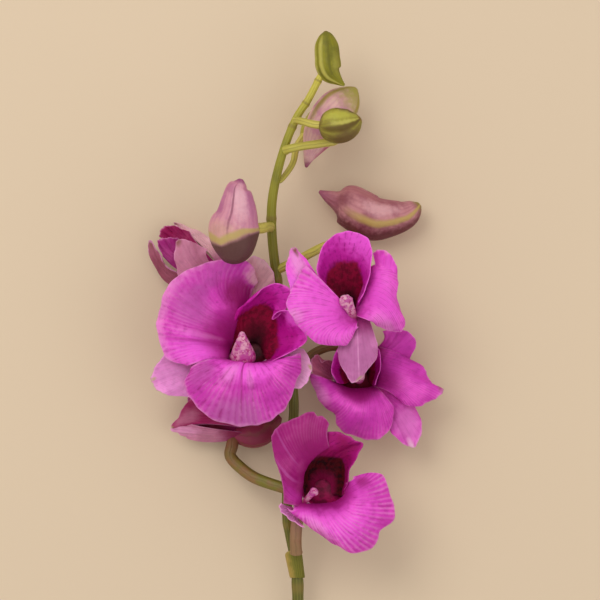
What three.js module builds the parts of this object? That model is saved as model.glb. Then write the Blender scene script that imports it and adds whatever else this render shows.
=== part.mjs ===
// A cut flowering spray of a dendrobium orchid, lying on its back on a flat surface.
// Four open blooms, two half-open blooms and six buds grow on one arching stem.
// Units are millimetres, +Z is up, and +Y runs along the stem towards its growing tip.

import * as THREE from 'three';

// Driving dimensions
const PETAL_THICKNESS = 0.6;
const SEPAL_THICKNESS = 0.7;
const LIP_THICKNESS = 0.6;
const BRACT_THICKNESS = 0.5;
const STEM_SIDES = 8;
const STALK_SIDES = 6;
const BUD_SIDES = 10;
const COLUMN_SIDES = 8;
const STEM_RINGS = 28;
const BLOOM_STALK_RINGS = 8;
const BUD_STALK_RINGS = 6;
const BUD_RINGS = 10;
const COLUMN_RINGS = 5;
const SPUR_RINGS = 6;
const SMALLEST_RADIUS = 0.2;
const FLATTENED_BUD = 0.94;

// Steps from claw to rim and from edge to edge of each kind of blade
const PETAL_STEPS = [4, 7];
const SEPAL_STEPS = [4, 5];
const LIP_STEPS = [5, 11];
const BRACT_STEPS = [2, 8];

const FINISHES = {
  stem: { color: 0x8a8a1e, roughness: 0.5, metalness: 0 },
  bract: { color: 0x8f8230, roughness: 0.6, metalness: 0 },
  stalk: { color: 0x9c8a3c, roughness: 0.55, metalness: 0 },
  petal: { color: 0xcd3cb4, roughness: 0.6, metalness: 0 },
  sepal: { color: 0xd48fc2, roughness: 0.6, metalness: 0 },
  lip: { color: 0xb4149a, roughness: 0.55, metalness: 0 },
  column: { color: 0xe6b8c4, roughness: 0.5, metalness: 0 },
  pink_bud: { color: 0xc48a96, roughness: 0.55, metalness: 0 },
  green_bud: { color: 0xa6a23a, roughness: 0.5, metalness: 0 },
};

// Stem and stalks are lists of x, y, z and radius. The stem starts at its cut end.
const STEM = [
  [-1, -166, 2.5, 2.2],
  [-1, -150, 2.8, 2.1],
  [-1, -128, 5, 2.05],
  [-1, -97, 10, 2],
  [-4.5, -75, 14, 1.85],
  [-3.5, -52.5, 17.3, 1.8],
  [-2.2, -35, 19, 1.75],
  [-5.5, -8, 20.8, 1.7],
  [-8, 7, 21.5, 1.7],
  [-9.8, 22.5, 22, 1.7],
  [-9.6, 36, 22.5, 1.65],
  [-6.2, 51, 23.2, 1.5],
  [-1.6, 63, 23.6, 1.4],
  [2.8, 70, 23.8, 1.3],
  [6.6, 77.2, 24, 1.25],
];

// The sheathing bract wraps the stem below the lowest bloom: its ends, radius and half angle.
const BRACT = {
  bottom: [-0.9, -98, 10],
  top: [-2.3, -89.6, 11.4],
  inner: 2.45,
  outer: 3.1,
  half_angle: 2.3,
};

// Each bloom grows round a heart. Its blades are sheets drawn through three rows of points,
// measured from the heart: the claw where it joins, the middle, and the free rim.
const BLOOMS = {
  bloom_left: {
    heart: [-19, -18, 30],
    blades: {
      petal_upper: {
        claw: [[-6, -1, -2], [-5.6, 5, -4]],
        middle: [[-13, -1.5, 4], [-18, 5, 6], [-15, 14, 4], [-8, 17, 0], [-4.5, 13, -4.6]],
        rim: [
          [-20, -5, 4], [-27.5, -2.5, 3], [-30.5, 8, 1.5], [-30, 17, 0], [-24, 26, -1.5],
          [-11, 32, -2.5], [0.5, 31.5, -3], [3.8, 23, -4.2],
        ],
      },
      petal_lower: {
        claw: [[-5.6, -4.6, -1], [5.6, -5.4, -1]],
        middle: [[-12, -2.4, 6.5], [-6, -8, 8.4], [2, -9.5, 7.5], [9, -7, 7.8], [12.5, -2.4, 6]],
        rim: [
          [-19.5, -5.5, 3.5], [-20.8, -12, 2], [-16, -21, 0.5], [-1, -26.2, 0], [9, -24, 0],
          [15.8, -16.5, 0.5], [18.6, -8, 1.5], [19.6, -0.2, 2.5],
        ],
      },
      dorsal_sepal: {
        claw: [[-5.6, -1.5, -5], [-5, -4.5, -5]],
        middle: [[-15, 1.5, -2.5], [-16, -5, -1.5], [-13, -12, -2.5]],
        rim: [[-28, -0.5, -1.5], [-32, -6, -1.5], [-32.8, -11, -2], [-28, -15, -2], [-19, -16, -2.5]],
      },
      lateral_sepal_right: {
        claw: [[5, -4.5, -8], [5.6, -1, -8]],
        middle: [[10, -9, -5], [12, -4, -4.6], [13, 1, -5]],
        rim: [[14, -12, -2.5], [18.5, -13, -2], [21.6, -10.6, -1.6], [23.2, -5, -1.6], [20.5, 1, -2.5]],
      },
      lateral_sepal_upper: {
        claw: [[-2, 3, -13], [2, 3.5, -13.2]],
        middle: [[-4, 18, -8.8], [2, 19, -8.2], [7, 17, -8.6]],
        rim: [[-2, 29, -6.6], [2.5, 33.4, -5.8], [7.5, 31, -5.2], [10.3, 25.5, -5.2], [9, 20, -6.2]],
      },
      lip: {
        claw: [[1, 0.8, -10.4], [0.8, 2.6, -11], [2.4, 3.6, -11.4], [4, 2.6, -11], [3.8, 0.6, -10.4]],
        middle: [
          [-3.4, 0.6, -5], [-3.8, 6, -4.4], [-2.8, 11, -3.4], [1.5, 15.5, -3], [7, 16.5, -2],
          [10.5, 12.5, -2.5], [11.4, 6.5, -2.5], [9.5, 0.5, -2.5], [5.4, -2.6, -3.6],
        ],
        rim: [
          [-4.4, 4.6, -1.6], [-3.6, 9, -0.6], [-2.6, 13.5, 1.5], [1.5, 18, 3.4], [6, 22.8, 5],
          [12, 23.8, 5.6], [15.4, 18, 4.6], [11.5, 12, 2.6], [16.5, 14.6, 6.4], [21.2, 8, 6],
          [21.6, 3, 5], [14, 0.2, 7.6], [7.5, -3.4, 5],
        ],
      },
    },
    column: [
      [-1, -1.6, -1.8, 2], [-0.9, 0, 1.6, 3], [-0.8, 2.8, 3.2, 2.8], [-0.6, 5.4, 4.2, 2.1],
      [-0.5, 7.6, 4.8, 1.1],
    ],
    stalk: [
      [-4.2, -31, 17.2, 1.9], [-9, -29.5, 15.6, 1.9], [-17, -24, 18, 2], [-20.4, -20.4, 22.4, 2.1],
    ],
  },
  bloom_right: {
    heart: [17.5, -6, 35],
    blades: {
      petal_left: {
        claw: [[-1.6, 0.8, -1], [-0.6, -3, -1]],
        middle: [[-8, 9.6, 5.2], [-11, 5, 6], [-10, -2, 6], [-5, -6, 4.5], [0.6, -5, 2.6]],
        rim: [
          [-15, 18.6, 4.4], [-20.6, 11.2, 4], [-22, 5, 4.4], [-18.6, -3.6, 4.6], [-9, -9.6, 3.6],
          [-1, -9.4, 2], [2.7, -4.6, 1.4],
        ],
      },
      petal_right: {
        claw: [[3, -1.4, -1], [3.8, 2, -1]],
        middle: [[9.5, -1.6, 4], [12, 3, 5.4], [10.5, 8.5, 5], [7.6, 10, 4]],
        rim: [
          [16.6, -3.9, 1.2], [18.8, 0.4, 1.8], [17, 6.5, 3.4], [15.5, 12, 4.2], [11.5, 15.6, 4.6],
          [8.4, 14.6, 4.4],
        ],
      },
      dorsal_sepal: {
        claw: [[0.4, -3, -3.4], [4.6, -2.6, -3.4]],
        middle: [[-3.8, -9.4, -1.2], [2.6, -9.6, 0.4], [8.6, -7.6, -1.2]],
        rim: [
          [-4.2, -14, -0.8], [-1.8, -20, -0.6], [0.9, -22.9, -0.6], [5.4, -20, -0.6],
          [8.4, -14, -0.8],
        ],
      },
      lateral_sepal_left: {
        claw: [[-5, 3.4, -6.6], [-4.6, 0.4, -6.8]],
        middle: [[-10, 12.4, 1], [-13, 9, 2], [-14, 4, 1]],
        rim: [[-15.6, 20, 2.4], [-19.9, 24.6, 3], [-22.4, 17.5, 2.6], [-20.8, 9, 2]],
      },
      lateral_sepal_right: {
        claw: [[5.2, 4.6, -6.6], [5.6, 1.6, -6.8]],
        middle: [[8.6, 13, 0.6], [11.5, 10.5, 1.8], [12.5, 5, 0.6]],
        rim: [[7.6, 22.6, 2], [11, 23.6, 2.4], [14.4, 21.4, 2.6], [16.4, 16, 2.2], [16.2, 9, 1.4]],
      },
      lip: {
        claw: [
          [-1.4, 3.4, -8.6], [-1.8, 5.6, -9.4], [0, 6.6, -9.8], [1.8, 5.6, -9.4], [1.4, 3.4, -8.6],
        ],
        middle: [
          [-3.4, 2.6, -3.6], [-5.6, 7, -2.6], [-7.4, 12, -2], [-6.6, 17, -1.6], [-1.4, 18.6, -1.2],
          [4, 17, -1.6], [4.6, 11, -2], [2.6, 3, -3.6],
        ],
        rim: [
          [-8.6, 13.4, 6.4], [-11, 18.5, 6.4], [-8.8, 25.8, 7], [-3.5, 28.8, 7.2], [2, 30, 7],
          [7, 26.4, 6.6], [7.6, 19, 6.4], [5.6, 12.4, 6.2], [3.6, 7.6, 3.6],
        ],
      },
    },
    column: [[0.9, -0.6, -2, 1.2], [0.2, 1.6, 1.2, 1.8], [-1.2, 4.4, 3.2, 2.5], [-1.9, 7.4, 3.6, 1.9]],
    stalk: [[-2.6, -7, 22, 1.6], [3, -4.4, 22, 1.6], [12, -5, 22.4, 1.7], [17.4, -7.4, 26, 1.8]],
  },
  bloom_rear: {
    heart: [21.5, -26, 16],
    blades: {
      petal_lower: {
        claw: [[-4.6, -3.6, -2], [3, -4.6, -2]],
        middle: [[-12, -2.8, 3], [-6, -8, 6], [0, -11, 6.6], [5, -9, 5.6], [7, -7, 2.6]],
        rim: [
          [-17.8, -1.2, 2], [-16.6, -5.4, 2], [-10.4, -13.6, 1.5], [-7, -19.6, 1], [-1, -23, 0.5],
          [7, -22.4, 0.5], [11.2, -18, 1], [10.2, -11.5, 1.2],
        ],
      },
      petal_right: {
        claw: [[4.4, -3.6, -1], [5.2, 1.4, -1]],
        middle: [[10.5, -6.6, 3.4], [15, -4, 5], [13.5, 0, 5], [11.5, 4, 3.6]],
        rim: [
          [16.5, -11, 1.6], [22, -11.2, 1.6], [26, -9.4, 1.5], [28.8, -6, 1], [25.6, -3.4, 1.5],
          [23, 1.5, 1.6], [18.6, 5.4, 1.8],
        ],
      },
      dorsal_sepal: {
        claw: [[1.8, -5, -4.6], [5.4, -4, -4.6]],
        middle: [[7, -13.4, -2.6], [11.5, -11, -1.4], [14.5, -8, -2.6]],
        rim: [
          [10.4, -20.6, -2], [15, -24.8, -1.6], [18.8, -25.8, -1.6], [21.3, -21, -1.6],
          [21, -16, -2], [18.6, -10.6, -2.6],
        ],
      },
      lateral_sepal_left: {
        claw: [[-6.8, 0.6, -7], [-6.4, -2, -7]],
        middle: [[-10.6, 4.6, -5], [-11.6, 1, -4.6], [-11, -2.2, -5]],
        rim: [[-13.6, 3.8, -1.2], [-16, 6.8, -0.6], [-17.6, 4, -0.4], [-16.8, -1, -1.2]],
      },
      lateral_sepal_upper: {
        claw: [[4, 4.6, -4.6], [6, 2, -4.6]],
        middle: [[6.6, 9.6, -1.2], [11, 8, 0.6], [13.5, 3.4, -1.2]],
        rim: [[7.4, 13.4, -0.2], [14, 16, 0.2], [18.6, 13.8, 0.4], [19.5, 9.4, 0.2], [18, 4.4, -0.6]],
      },
      lip: {
        claw: [[-3.6, -1, -8.4], [-3.6, 2, -9], [-1, 4, -9], [2, 3, -8.4]],
        middle: [[-5.6, -1.6, -2.4], [-7, 2.6, -2], [-4, 7, -2], [0.6, 8.6, -2], [3.2, 4.6, -2.4]],
        rim: [
          [-8, -1.2, 3.4], [-10.2, 3, 4.4], [-9.4, 8.6, 5], [-4, 12, 5.4], [1.6, 12.6, 4.6],
          [4, 8.6, 3.4], [3.8, 4.6, 2.4],
        ],
      },
    },
    column: [[-0.6, -2.8, -1.6, 1.2], [-0.8, -1.8, 1.2, 1.9], [-0.9, 0, 3.2, 2.2], [-1, 2.2, 3.6, 1.6]],
    stalk: [
      [0.2, -24, 17.4, 1.6], [4.5, -19, 11.4, 1.6], [12, -16.4, 6.5, 1.6], [19.4, -19, 3.6, 1.7],
      [22.4, -24, 3.8, 1.8],
    ],
  },
  bloom_low: {
    heart: [2, -70, 27],
    blades: {
      petal_upper: {
        claw: [[-4.6, -0.8, -1], [-2.6, 3.4, -3]],
        middle: [[-6.4, -0.4, 2.4], [-7, 6, 3.6], [-5.4, 13, 1.2], [-1.8, 13.4, -3.6]],
        rim: [
          [-8.2, 0.2, 5], [-8.8, 7, 5.4], [-11, 14.5, 5], [-11.4, 21.5, 4], [-7, 27.8, 2.6],
          [-1, 30.4, 2], [3.6, 31, 1.4], [8, 27.6, 0.4],
        ],
      },
      petal_lower: {
        claw: [[-2.4, -3.8, -1.6], [4, -2.8, -2]],
        middle: [[3, -9.4, 3], [8, -8, 5.6], [13, -4.6, 6.2], [15.4, 0, 5], [13.8, 3, 2.6]],
        rim: [
          [10.6, -14.4, 1.6], [16, -18, 0.8], [23.6, -17, 0.6], [28.8, -10.4, 0.8], [31.2, -2, 1],
          [28.4, 5.6, 1.6], [24, 9.9, 2], [19.6, 9.2, 2],
        ],
      },
      dorsal_sepal: {
        claw: [[-4.8, -2.6, -4.6], [-2.4, -5, -4.6]],
        middle: [[-7.2, -2, -2.4], [-5.6, -4.4, -2.2], [-2.4, -7.4, -2.4]],
        rim: [[-8.8, -0.8, 1], [-9, -3.2, 0.6], [-5.4, -6.8, -0.4], [-0.2, -9.6, -0.6]],
      },
      lateral_sepal_upper: {
        claw: [[4, 3, -13.4], [7.4, 3.4, -13.4]],
        middle: [[-2.6, 16, -9.6], [2, 17, -9], [6, 15, -9.6]],
        rim: [[-4, 24, -4.6], [-1, 28, -3.4], [1.6, 29.6, -3], [4, 27.6, -3.4], [5.6, 23.6, -5]],
      },
      lateral_sepal_right: {
        claw: [[3.8, -5.4, -5.6], [5.4, -1.6, -5.6]],
        middle: [[10, -9, -3], [13, -5.4, -2], [13.4, -0.6, -3]],
        rim: [[19, -10.4, -2], [24, -7.6, -1.6], [26.4, -4.4, -1.4], [25.4, -1, -1.6], [21, 3, -2]],
      },
      lip: {
        claw: [[4.4, 3, -11], [4, 5, -11.6], [6, 6.2, -12], [8, 5, -11.6], [7.6, 3, -11]],
        middle: [
          [2, 2, -5.6], [0.4, 6, -4.6], [0.8, 11.4, -4.6], [4, 14.6, -4.6], [9.4, 15, -4.6],
          [13.4, 12.4, -4.6], [13.4, 6, -4.6], [10, 1.4, -5],
        ],
        rim: [
          [-0.2, 10, -0.4], [0.6, 16, -0.6], [3.4, 21.6, 0], [8.6, 25, 2.4], [13.5, 22.8, 4],
          [19.6, 20, 5], [17.6, 14, 4], [14.8, 10.6, 3.4], [14.6, 6.4, 2], [13.4, 3.6, -0.4],
        ],
      },
    },
    column: [[0.4, -1.4, -3, 1.1], [0.7, 0.4, 0.6, 1.5], [2, 2, 3, 1.6], [3.5, 3.3, 3.8, 1.3]],
    stalk: [[-1.3, -89.2, 15.8, 2.1], [-1.5, -84, 18, 2.1], [-1, -78, 19, 2.1], [0.6, -73.2, 19, 2]],
  },
  half_open_low: {
    heart: [-21, -46, 6.9],
    blades: {
      dorsal_sepal: {
        claw: [[-1, 3.4, 2.6], [-3.4, 1, 3]],
        middle: [[-9, 11, 4.4], [-13, 6, 5], [-12, 1, 4.4]],
        rim: [[-17, 13.6, 1.6], [-20, 11, 2.4], [-23, 5, 3.4], [-25.2, 1.2, 3.6], [-21, 0.6, 3.8]],
      },
      lateral_sepal_front: {
        claw: [[-3.6, -0.6, 1.6], [-2.8, -3, 0]],
        middle: [[-12, -1, 3], [-13, -3.4, 1], [-11, -5, -2.4]],
        rim: [[-21, -0.6, 2.6], [-24, -0.8, 2], [-21, -3.4, 0.4], [-17, -4, -1.6]],
      },
      lateral_sepal_rear: {
        claw: [[-4, 1.4, -2.6], [-3.2, -1.8, -3]],
        middle: [[-12, 3.6, -5.4], [-13, 0, -6], [-11, -3.8, -5]],
        rim: [[-19, 6, -5.6], [-22.6, 2.4, -5.4], [-21, -1, -5], [-17, -3.2, -4.4]],
      },
      petal_upper: {
        claw: [[-0.6, 4.4, 0], [-4.2, 2.6, 0.8]],
        middle: [[-7, 11, 0.6], [-10, 8, 1.6], [-11, 4, 2]],
        rim: [[-14, 14, -1.4], [-18.4, 12.4, -0.6], [-19, 8, 0.6], [-18, 4, 1.2]],
      },
      petal_lower: {
        claw: [[-4.6, 1, 0.6], [-4, -1.4, -0.6]],
        middle: [[-11, 3, 0.4], [-12.4, 0.6, 0], [-11, -2, -1.6]],
        rim: [[-17, 2.6, -0.6], [-19.6, 1, -0.8], [-18, -1, -1.6], [-15, -2, -2.6]],
      },
    },
    spur: [[-1.2, 0.6, 0, 3], [3, 0.2, 0, 4.6], [8, 1, 0, 5], [12, 3.4, 0, 4], [14.6, 5.6, 0, 1.6]],
    stalk: [
      [-7.4, -65.6, 15, 2], [-15.8, -62.7, 12, 2.1], [-21.6, -58.6, 9.4, 2.1], [-24.6, -55, 8, 2.1],
      [-24, -51.6, 7.4, 2.2],
    ],
  },
  half_open_high: {
    heart: [-30, 9, 7.8],
    blades: {
      sepal_left: {
        claw: [[-3.6, -4, -0.6], [-3.4, -1.8, 1.4]],
        middle: [[-15, -4, -1.6], [-15, -1.6, 0.6], [-13.8, 1, 3]],
        rim: [[-21, 3, -2], [-23.7, 9, -1], [-23, 12.1, 0], [-20.4, 8.6, 2.4], [-17.6, 3.6, 3.4]],
      },
      sepal_front: {
        claw: [[-2.6, -3.4, 4.4], [1.4, 1, 4.8]],
        middle: [[-7, -2.4, 6], [-7.4, 3, 9], [-2.6, 5.6, 7]],
        rim: [[-12.8, -1, 5], [-14.2, 6.5, 6.8], [-13, 12.2, 7.6], [-8.5, 11.7, 8], [-2.5, 8.8, 7]],
      },
      sepal_rear: {
        claw: [[1, 3.4, -5.4], [3.4, 3.4, -5.4]],
        middle: [[-4.6, 10, -5.2], [-3, 11.8, -6], [-0.6, 11.4, -6.8]],
        rim: [[-11, 14.6, -4.6], [-14.8, 18.4, -4.8], [-9, 16.4, -6.4], [-4.6, 14, -7.2]],
      },
      petal_left: {
        claw: [[-3, -0.4, 1], [-2.2, 2.2, 1]],
        middle: [[-12.4, 1.4, 2.4], [-12, 4.6, 3.8], [-10.4, 7.4, 3]],
        rim: [[-18, 6.4, 3.4], [-20.4, 11.6, 3.6], [-17, 13, 4], [-12.6, 12.8, 4]],
      },
      petal_right: {
        claw: [[-1.6, 3, -2], [0.6, 3.6, -2.6]],
        middle: [[-11.4, 8.6, -1.4], [-10, 11, -2.4], [-6.6, 11.4, -3.2]],
        rim: [[-20, 13.4, 0], [-18.4, 16.8, -1], [-14, 17.2, -2], [-8.6, 14.6, -2.6]],
      },
    },
    spur: [[-1.8, -0.8, 0, 2.2], [1.6, 0.2, 0, 4], [6, 1, 0, 4.4], [10, 1, 0, 3], [12.4, 0.6, 0, 1.2]],
    stalk: [[-9.4, -3, 18.6, 1.7], [-15, -2, 13, 1.7], [-21, -0.6, 9.4, 1.8], [-27.6, 3.6, 7.6, 2]],
  },
};

// A bud runs from its spur or base to its tip: x, y, z and radius at each station.
const BUDS = {
  bud_left: {
    finish: 'pink_bud',
    body: [
      [-21.4, 41.6, 40, 0.6], [-22, 38.6, 40, 3], [-22.3, 33, 40, 5.2], [-22.6, 27.5, 40, 7.4],
      [-23, 21.5, 40.4, 8.7], [-23.3, 16.4, 41, 7], [-23.5, 13.2, 41.6, 3.4],
      [-23.5, 12.5, 41.8, 0.8],
    ],
    stalk: [[-11.2, 25.6, 25.4, 1.6], [-11.8, 25.4, 30, 1.7], [-13.2, 25, 34, 1.8]],
  },
  bud_right: {
    finish: 'pink_bud',
    body: [
      [6.7, 38.4, 7.6, 0.5], [10, 36.6, 7.6, 2.2], [13, 35.2, 7.6, 3.6], [16, 34.2, 7.6, 7],
      [20, 31.8, 7.6, 7.8], [25.4, 28.9, 7.6, 8], [31, 28.8, 7.6, 6.8], [36.8, 30, 7.6, 5.3],
      [40.4, 32.3, 7.6, 3.4], [42.3, 33.9, 7.6, 0.9],
    ],
    stalk: [[-6.2, 11.4, 21.6, 1.6], [0, 14.4, 20.4, 1.6], [8, 18.6, 16.4, 1.6], [14.2, 23, 12.4, 1.9]],
  },
  bud_rear: {
    finish: 'pink_bud',
    body: [
      [2.1, 46.6, 15, 0.4], [3, 49.7, 15, 1.8], [4.6, 53.6, 15, 3.8], [6.7, 57.8, 15, 5.9],
      [9.8, 62.3, 15, 7.4], [13.3, 67.2, 15, 7.2], [16.5, 70.7, 15, 5.6], [18.6, 73.2, 15, 3],
      [19.8, 74.6, 15, 0.6],
    ],
    stalk: [
      [-3.8, 53, 25.6, 1.5], [1.5, 53.9, 25.4, 1.45], [8.6, 55, 24.2, 1.5], [12.4, 56.2, 22.4, 1.7],
    ],
  },
  bud_front: {
    finish: 'green_bud',
    body: [
      [6.5, 60.6, 32, 0.9], [8, 60.6, 32, 4.2], [11.2, 60.7, 32, 6], [14.7, 60.9, 32, 6.1],
      [18.2, 62, 32.4, 4.8], [20.4, 63, 32.8, 2.3], [21.1, 63.4, 33, 0.5],
    ],
    stalk: [[-0.4, 62.6, 26.4, 1.3], [1.6, 62, 29, 1.3], [4.6, 61.2, 31.2, 1.4]],
  },
  bud_hidden: {
    finish: 'green_bud',
    body: [
      [0.5, 57.6, 3.6, 0.8], [3, 61, 3.6, 2.6], [6.5, 65, 3.6, 3.3], [10, 68.5, 3.6, 2.6],
      [12, 70.6, 3.6, 0.7],
    ],
    stalk: [[-6.2, 42.4, 20.6, 1], [-2.6, 48, 14, 1.1], [-1.2, 54, 7, 1.2]],
  },
  bud_tip: {
    finish: 'green_bud',
    body: [
      [8.9, 94.2, 24, 0.4], [9.1, 92.6, 24, 2.4], [9.3, 89.2, 24, 4.1], [9.6, 84.7, 24, 4.4],
      [9.9, 82, 24, 4.5], [10.8, 79.2, 24, 3.7], [13.6, 76.6, 24, 1.6], [15.6, 75.1, 24, 0.4],
    ],
  },
};

/** Points spaced evenly in parameter on the smooth curve through a row of [x, y, z] points. */
function smoothRow(row, steps) {
  const points = row.map((p) => new THREE.Vector3(p[0], p[1], p[2]));
  const curve = new THREE.CatmullRomCurve3(points, false, 'catmullrom', 0.5);
  return Array.from({ length: steps + 1 }, (_, i) => curve.getPoint(i / steps));
}

/** A grid of points through the claw, middle and rim rows: a parabola from claw to rim. */
function bladeGrid(blade, steps) {
  const [across, along] = steps;
  const claw = smoothRow(blade.claw, along);
  const middle = smoothRow(blade.middle, along);
  const rim = smoothRow(blade.rim, along);
  const grid = [];
  for (let i = 0; i <= across; i++) {
    const u = i / across;
    const row = claw.map((point, j) => new THREE.Vector3()
      .addScaledVector(point, (1 - u) * (1 - 2 * u))
      .addScaledVector(middle[j], 4 * u * (1 - u))
      .addScaledVector(rim[j], u * (2 * u - 1)));
    grid.push(row);
  }
  return grid;
}

/** The closed geometry of loose triangles, turned if need be so that its faces point out. */
function closedGeometry(points, triangles) {
  const corner = (index) => points[index];
  let volume = 0;
  for (const [a, b, c] of triangles) {
    volume += corner(a).dot(new THREE.Vector3().crossVectors(corner(b), corner(c)));
  }
  const faces = volume > 0 ? triangles : triangles.map(([a, b, c]) => [a, c, b]);
  const geometry = new THREE.BufferGeometry().setFromPoints(points);
  geometry.setIndex(faces.flat());
  geometry.computeVertexNormals();
  return geometry;
}

/** A thin solid sheet that follows a grid of points, thickened by half to either side. */
function sheetGeometry(grid, thickness) {
  const rows = grid.length;
  const columns = grid[0].length;
  const within = (value, count) => Math.min(Math.max(value, 0), count - 1);
  const at = (i, j) => grid[within(i, rows)][within(j, columns)];
  const points = [];
  for (const side of [1, -1]) {
    for (let i = 0; i < rows; i++) {
      for (let j = 0; j < columns; j++) {
        const down = new THREE.Vector3().subVectors(at(i + 1, j), at(i - 1, j));
        const over = new THREE.Vector3().subVectors(at(i, j + 1), at(i, j - 1));
        const normal = down.cross(over).normalize();
        points.push(at(i, j).clone().addScaledVector(normal, side * thickness / 2));
      }
    }
  }
  const index = (side, i, j) => side * rows * columns + i * columns + j;
  const lastRow = rows - 1;
  const lastColumn = columns - 1;
  const triangles = [];
  const quad = (a, b, c, d) => triangles.push([a, b, c], [a, c, d]);
  for (let i = 0; i < lastRow; i++) {
    for (let j = 0; j < lastColumn; j++) {
      quad(index(0, i, j), index(0, i + 1, j), index(0, i + 1, j + 1), index(0, i, j + 1));
      quad(index(1, i, j), index(1, i, j + 1), index(1, i + 1, j + 1), index(1, i + 1, j));
    }
  }
  for (let i = 0; i < lastRow; i++) {
    quad(index(0, i, 0), index(1, i, 0), index(1, i + 1, 0), index(0, i + 1, 0));
    quad(
      index(0, i, lastColumn), index(0, i + 1, lastColumn),
      index(1, i + 1, lastColumn), index(1, i, lastColumn));
  }
  for (let j = 0; j < lastColumn; j++) {
    quad(index(0, 0, j), index(0, 0, j + 1), index(1, 0, j + 1), index(1, 0, j));
    quad(
      index(0, lastRow, j), index(1, lastRow, j),
      index(1, lastRow, j + 1), index(0, lastRow, j + 1));
  }
  return closedGeometry(points, triangles);
}

/** A closed round body along stations of [x, y, z, radius], flattened in its second direction. */
function loftGeometry(stations, sides, rings, flatten = 1) {
  const spine = new THREE.CatmullRomCurve3(
    stations.map((s) => new THREE.Vector3(s[0], s[1], s[2])), false, 'catmullrom', 0.5);
  const widths = new THREE.CatmullRomCurve3(
    stations.map((s) => new THREE.Vector3(s[3], 0, 0)), false, 'catmullrom', 0.5);
  const points = [];
  for (let i = 0; i <= rings; i++) {
    const centre = spine.getPoint(i / rings);
    const tangent = spine.getTangent(i / rings);
    const across = new THREE.Vector3(-tangent.y, tangent.x, 0).normalize();
    const upward = new THREE.Vector3().crossVectors(tangent, across);
    const radius = Math.max(widths.getPoint(i / rings).x, SMALLEST_RADIUS);
    for (let k = 0; k < sides; k++) {
      const angle = 2 * Math.PI * k / sides;
      points.push(centre.clone()
        .addScaledVector(across, radius * Math.cos(angle))
        .addScaledVector(upward, radius * flatten * Math.sin(angle)));
    }
  }
  const start = points.push(spine.getPoint(0)) - 1;
  const end = points.push(spine.getPoint(1)) - 1;
  const triangles = [];
  for (let k = 0; k < sides; k++) {
    const next = (k + 1) % sides;
    for (let i = 0; i < rings; i++) {
      const low = i * sides;
      const high = (i + 1) * sides;
      triangles.push([low + k, low + next, high + next], [low + k, high + next, high + k]);
    }
    triangles.push([start, next, k], [end, rings * sides + k, rings * sides + next]);
  }
  return closedGeometry(points, triangles);
}

const spray = new THREE.Group();

function addPiece(parent, name, geometry, finish) {
  const piece = new THREE.Mesh(geometry, new THREE.MeshStandardMaterial(FINISHES[finish]));
  piece.name = name;
  parent.add(piece);
}

/** The bract is a sheet wrapped round the front of the stem, open along the back. */
function bractGeometry() {
  const [rings, steps] = BRACT_STEPS;
  const arc = (centre, radius) => Array.from({ length: steps + 1 }, (_, j) => {
    const angle = BRACT.half_angle * (2 * j / steps - 1);
    return new THREE.Vector3(
      centre[0] + radius * Math.sin(angle),
      centre[1],
      centre[2] + radius * Math.cos(angle),
    );
  });
  const bottom = arc(BRACT.bottom, BRACT.inner);
  const top = arc(BRACT.top, BRACT.outer);
  const grid = Array.from({ length: rings + 1 }, (_, i) => (
    bottom.map((point, j) => point.clone().lerp(top[j], i / rings))));
  return sheetGeometry(grid, BRACT_THICKNESS);
}

function bladeStyle(name) {
  if (name.includes('sepal')) {
    return { finish: 'sepal', steps: SEPAL_STEPS, thickness: SEPAL_THICKNESS };
  }
  if (name.includes('lip')) {
    return { finish: 'lip', steps: LIP_STEPS, thickness: LIP_THICKNESS };
  }
  return { finish: 'petal', steps: PETAL_STEPS, thickness: PETAL_THICKNESS };
}

addPiece(spray, 'stem', loftGeometry(STEM, STEM_SIDES, STEM_RINGS), 'stem');
addPiece(spray, 'lower_bract', bractGeometry(), 'bract');

for (const [bloomName, bloom] of Object.entries(BLOOMS)) {
  const whorl = new THREE.Group();
  whorl.position.set(...bloom.heart);
  spray.add(whorl);
  for (const [bladeName, blade] of Object.entries(bloom.blades)) {
    const style = bladeStyle(bladeName);
    const geometry = sheetGeometry(bladeGrid(blade, style.steps), style.thickness);
    addPiece(whorl, `${bloomName}_${bladeName}`, geometry, style.finish);
  }
  if (bloom.column) {
    const column = loftGeometry(bloom.column, COLUMN_SIDES, COLUMN_RINGS);
    addPiece(whorl, `${bloomName}_column`, column, 'column');
  }
  if (bloom.spur) {
    const spur = loftGeometry(bloom.spur, COLUMN_SIDES, SPUR_RINGS);
    addPiece(whorl, `${bloomName}_spur`, spur, 'sepal');
  }
  const stalk = loftGeometry(bloom.stalk, STALK_SIDES, BLOOM_STALK_RINGS);
  addPiece(spray, `${bloomName}_stalk`, stalk, 'stalk');
}

for (const [budName, bud] of Object.entries(BUDS)) {
  const body = loftGeometry(bud.body, BUD_SIDES, BUD_RINGS, FLATTENED_BUD);
  addPiece(spray, budName, body, bud.finish);
  if (bud.stalk) {
    const stalk = loftGeometry(bud.stalk, STALK_SIDES, BUD_STALK_RINGS);
    addPiece(spray, `${budName}_stalk`, stalk, 'stalk');
  }
}

// The origin is below the middle of the spray, on the surface it lies on.
spray.updateMatrixWorld(true);
const bounds = new THREE.Box3().setFromObject(spray, true);
const boxCentre = bounds.getCenter(new THREE.Vector3());
spray.position.set(-boxCentre.x, -boxCentre.y, -bounds.min.z);
spray.updateMatrixWorld(true);

export default spray;
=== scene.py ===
import math
import random

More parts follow.
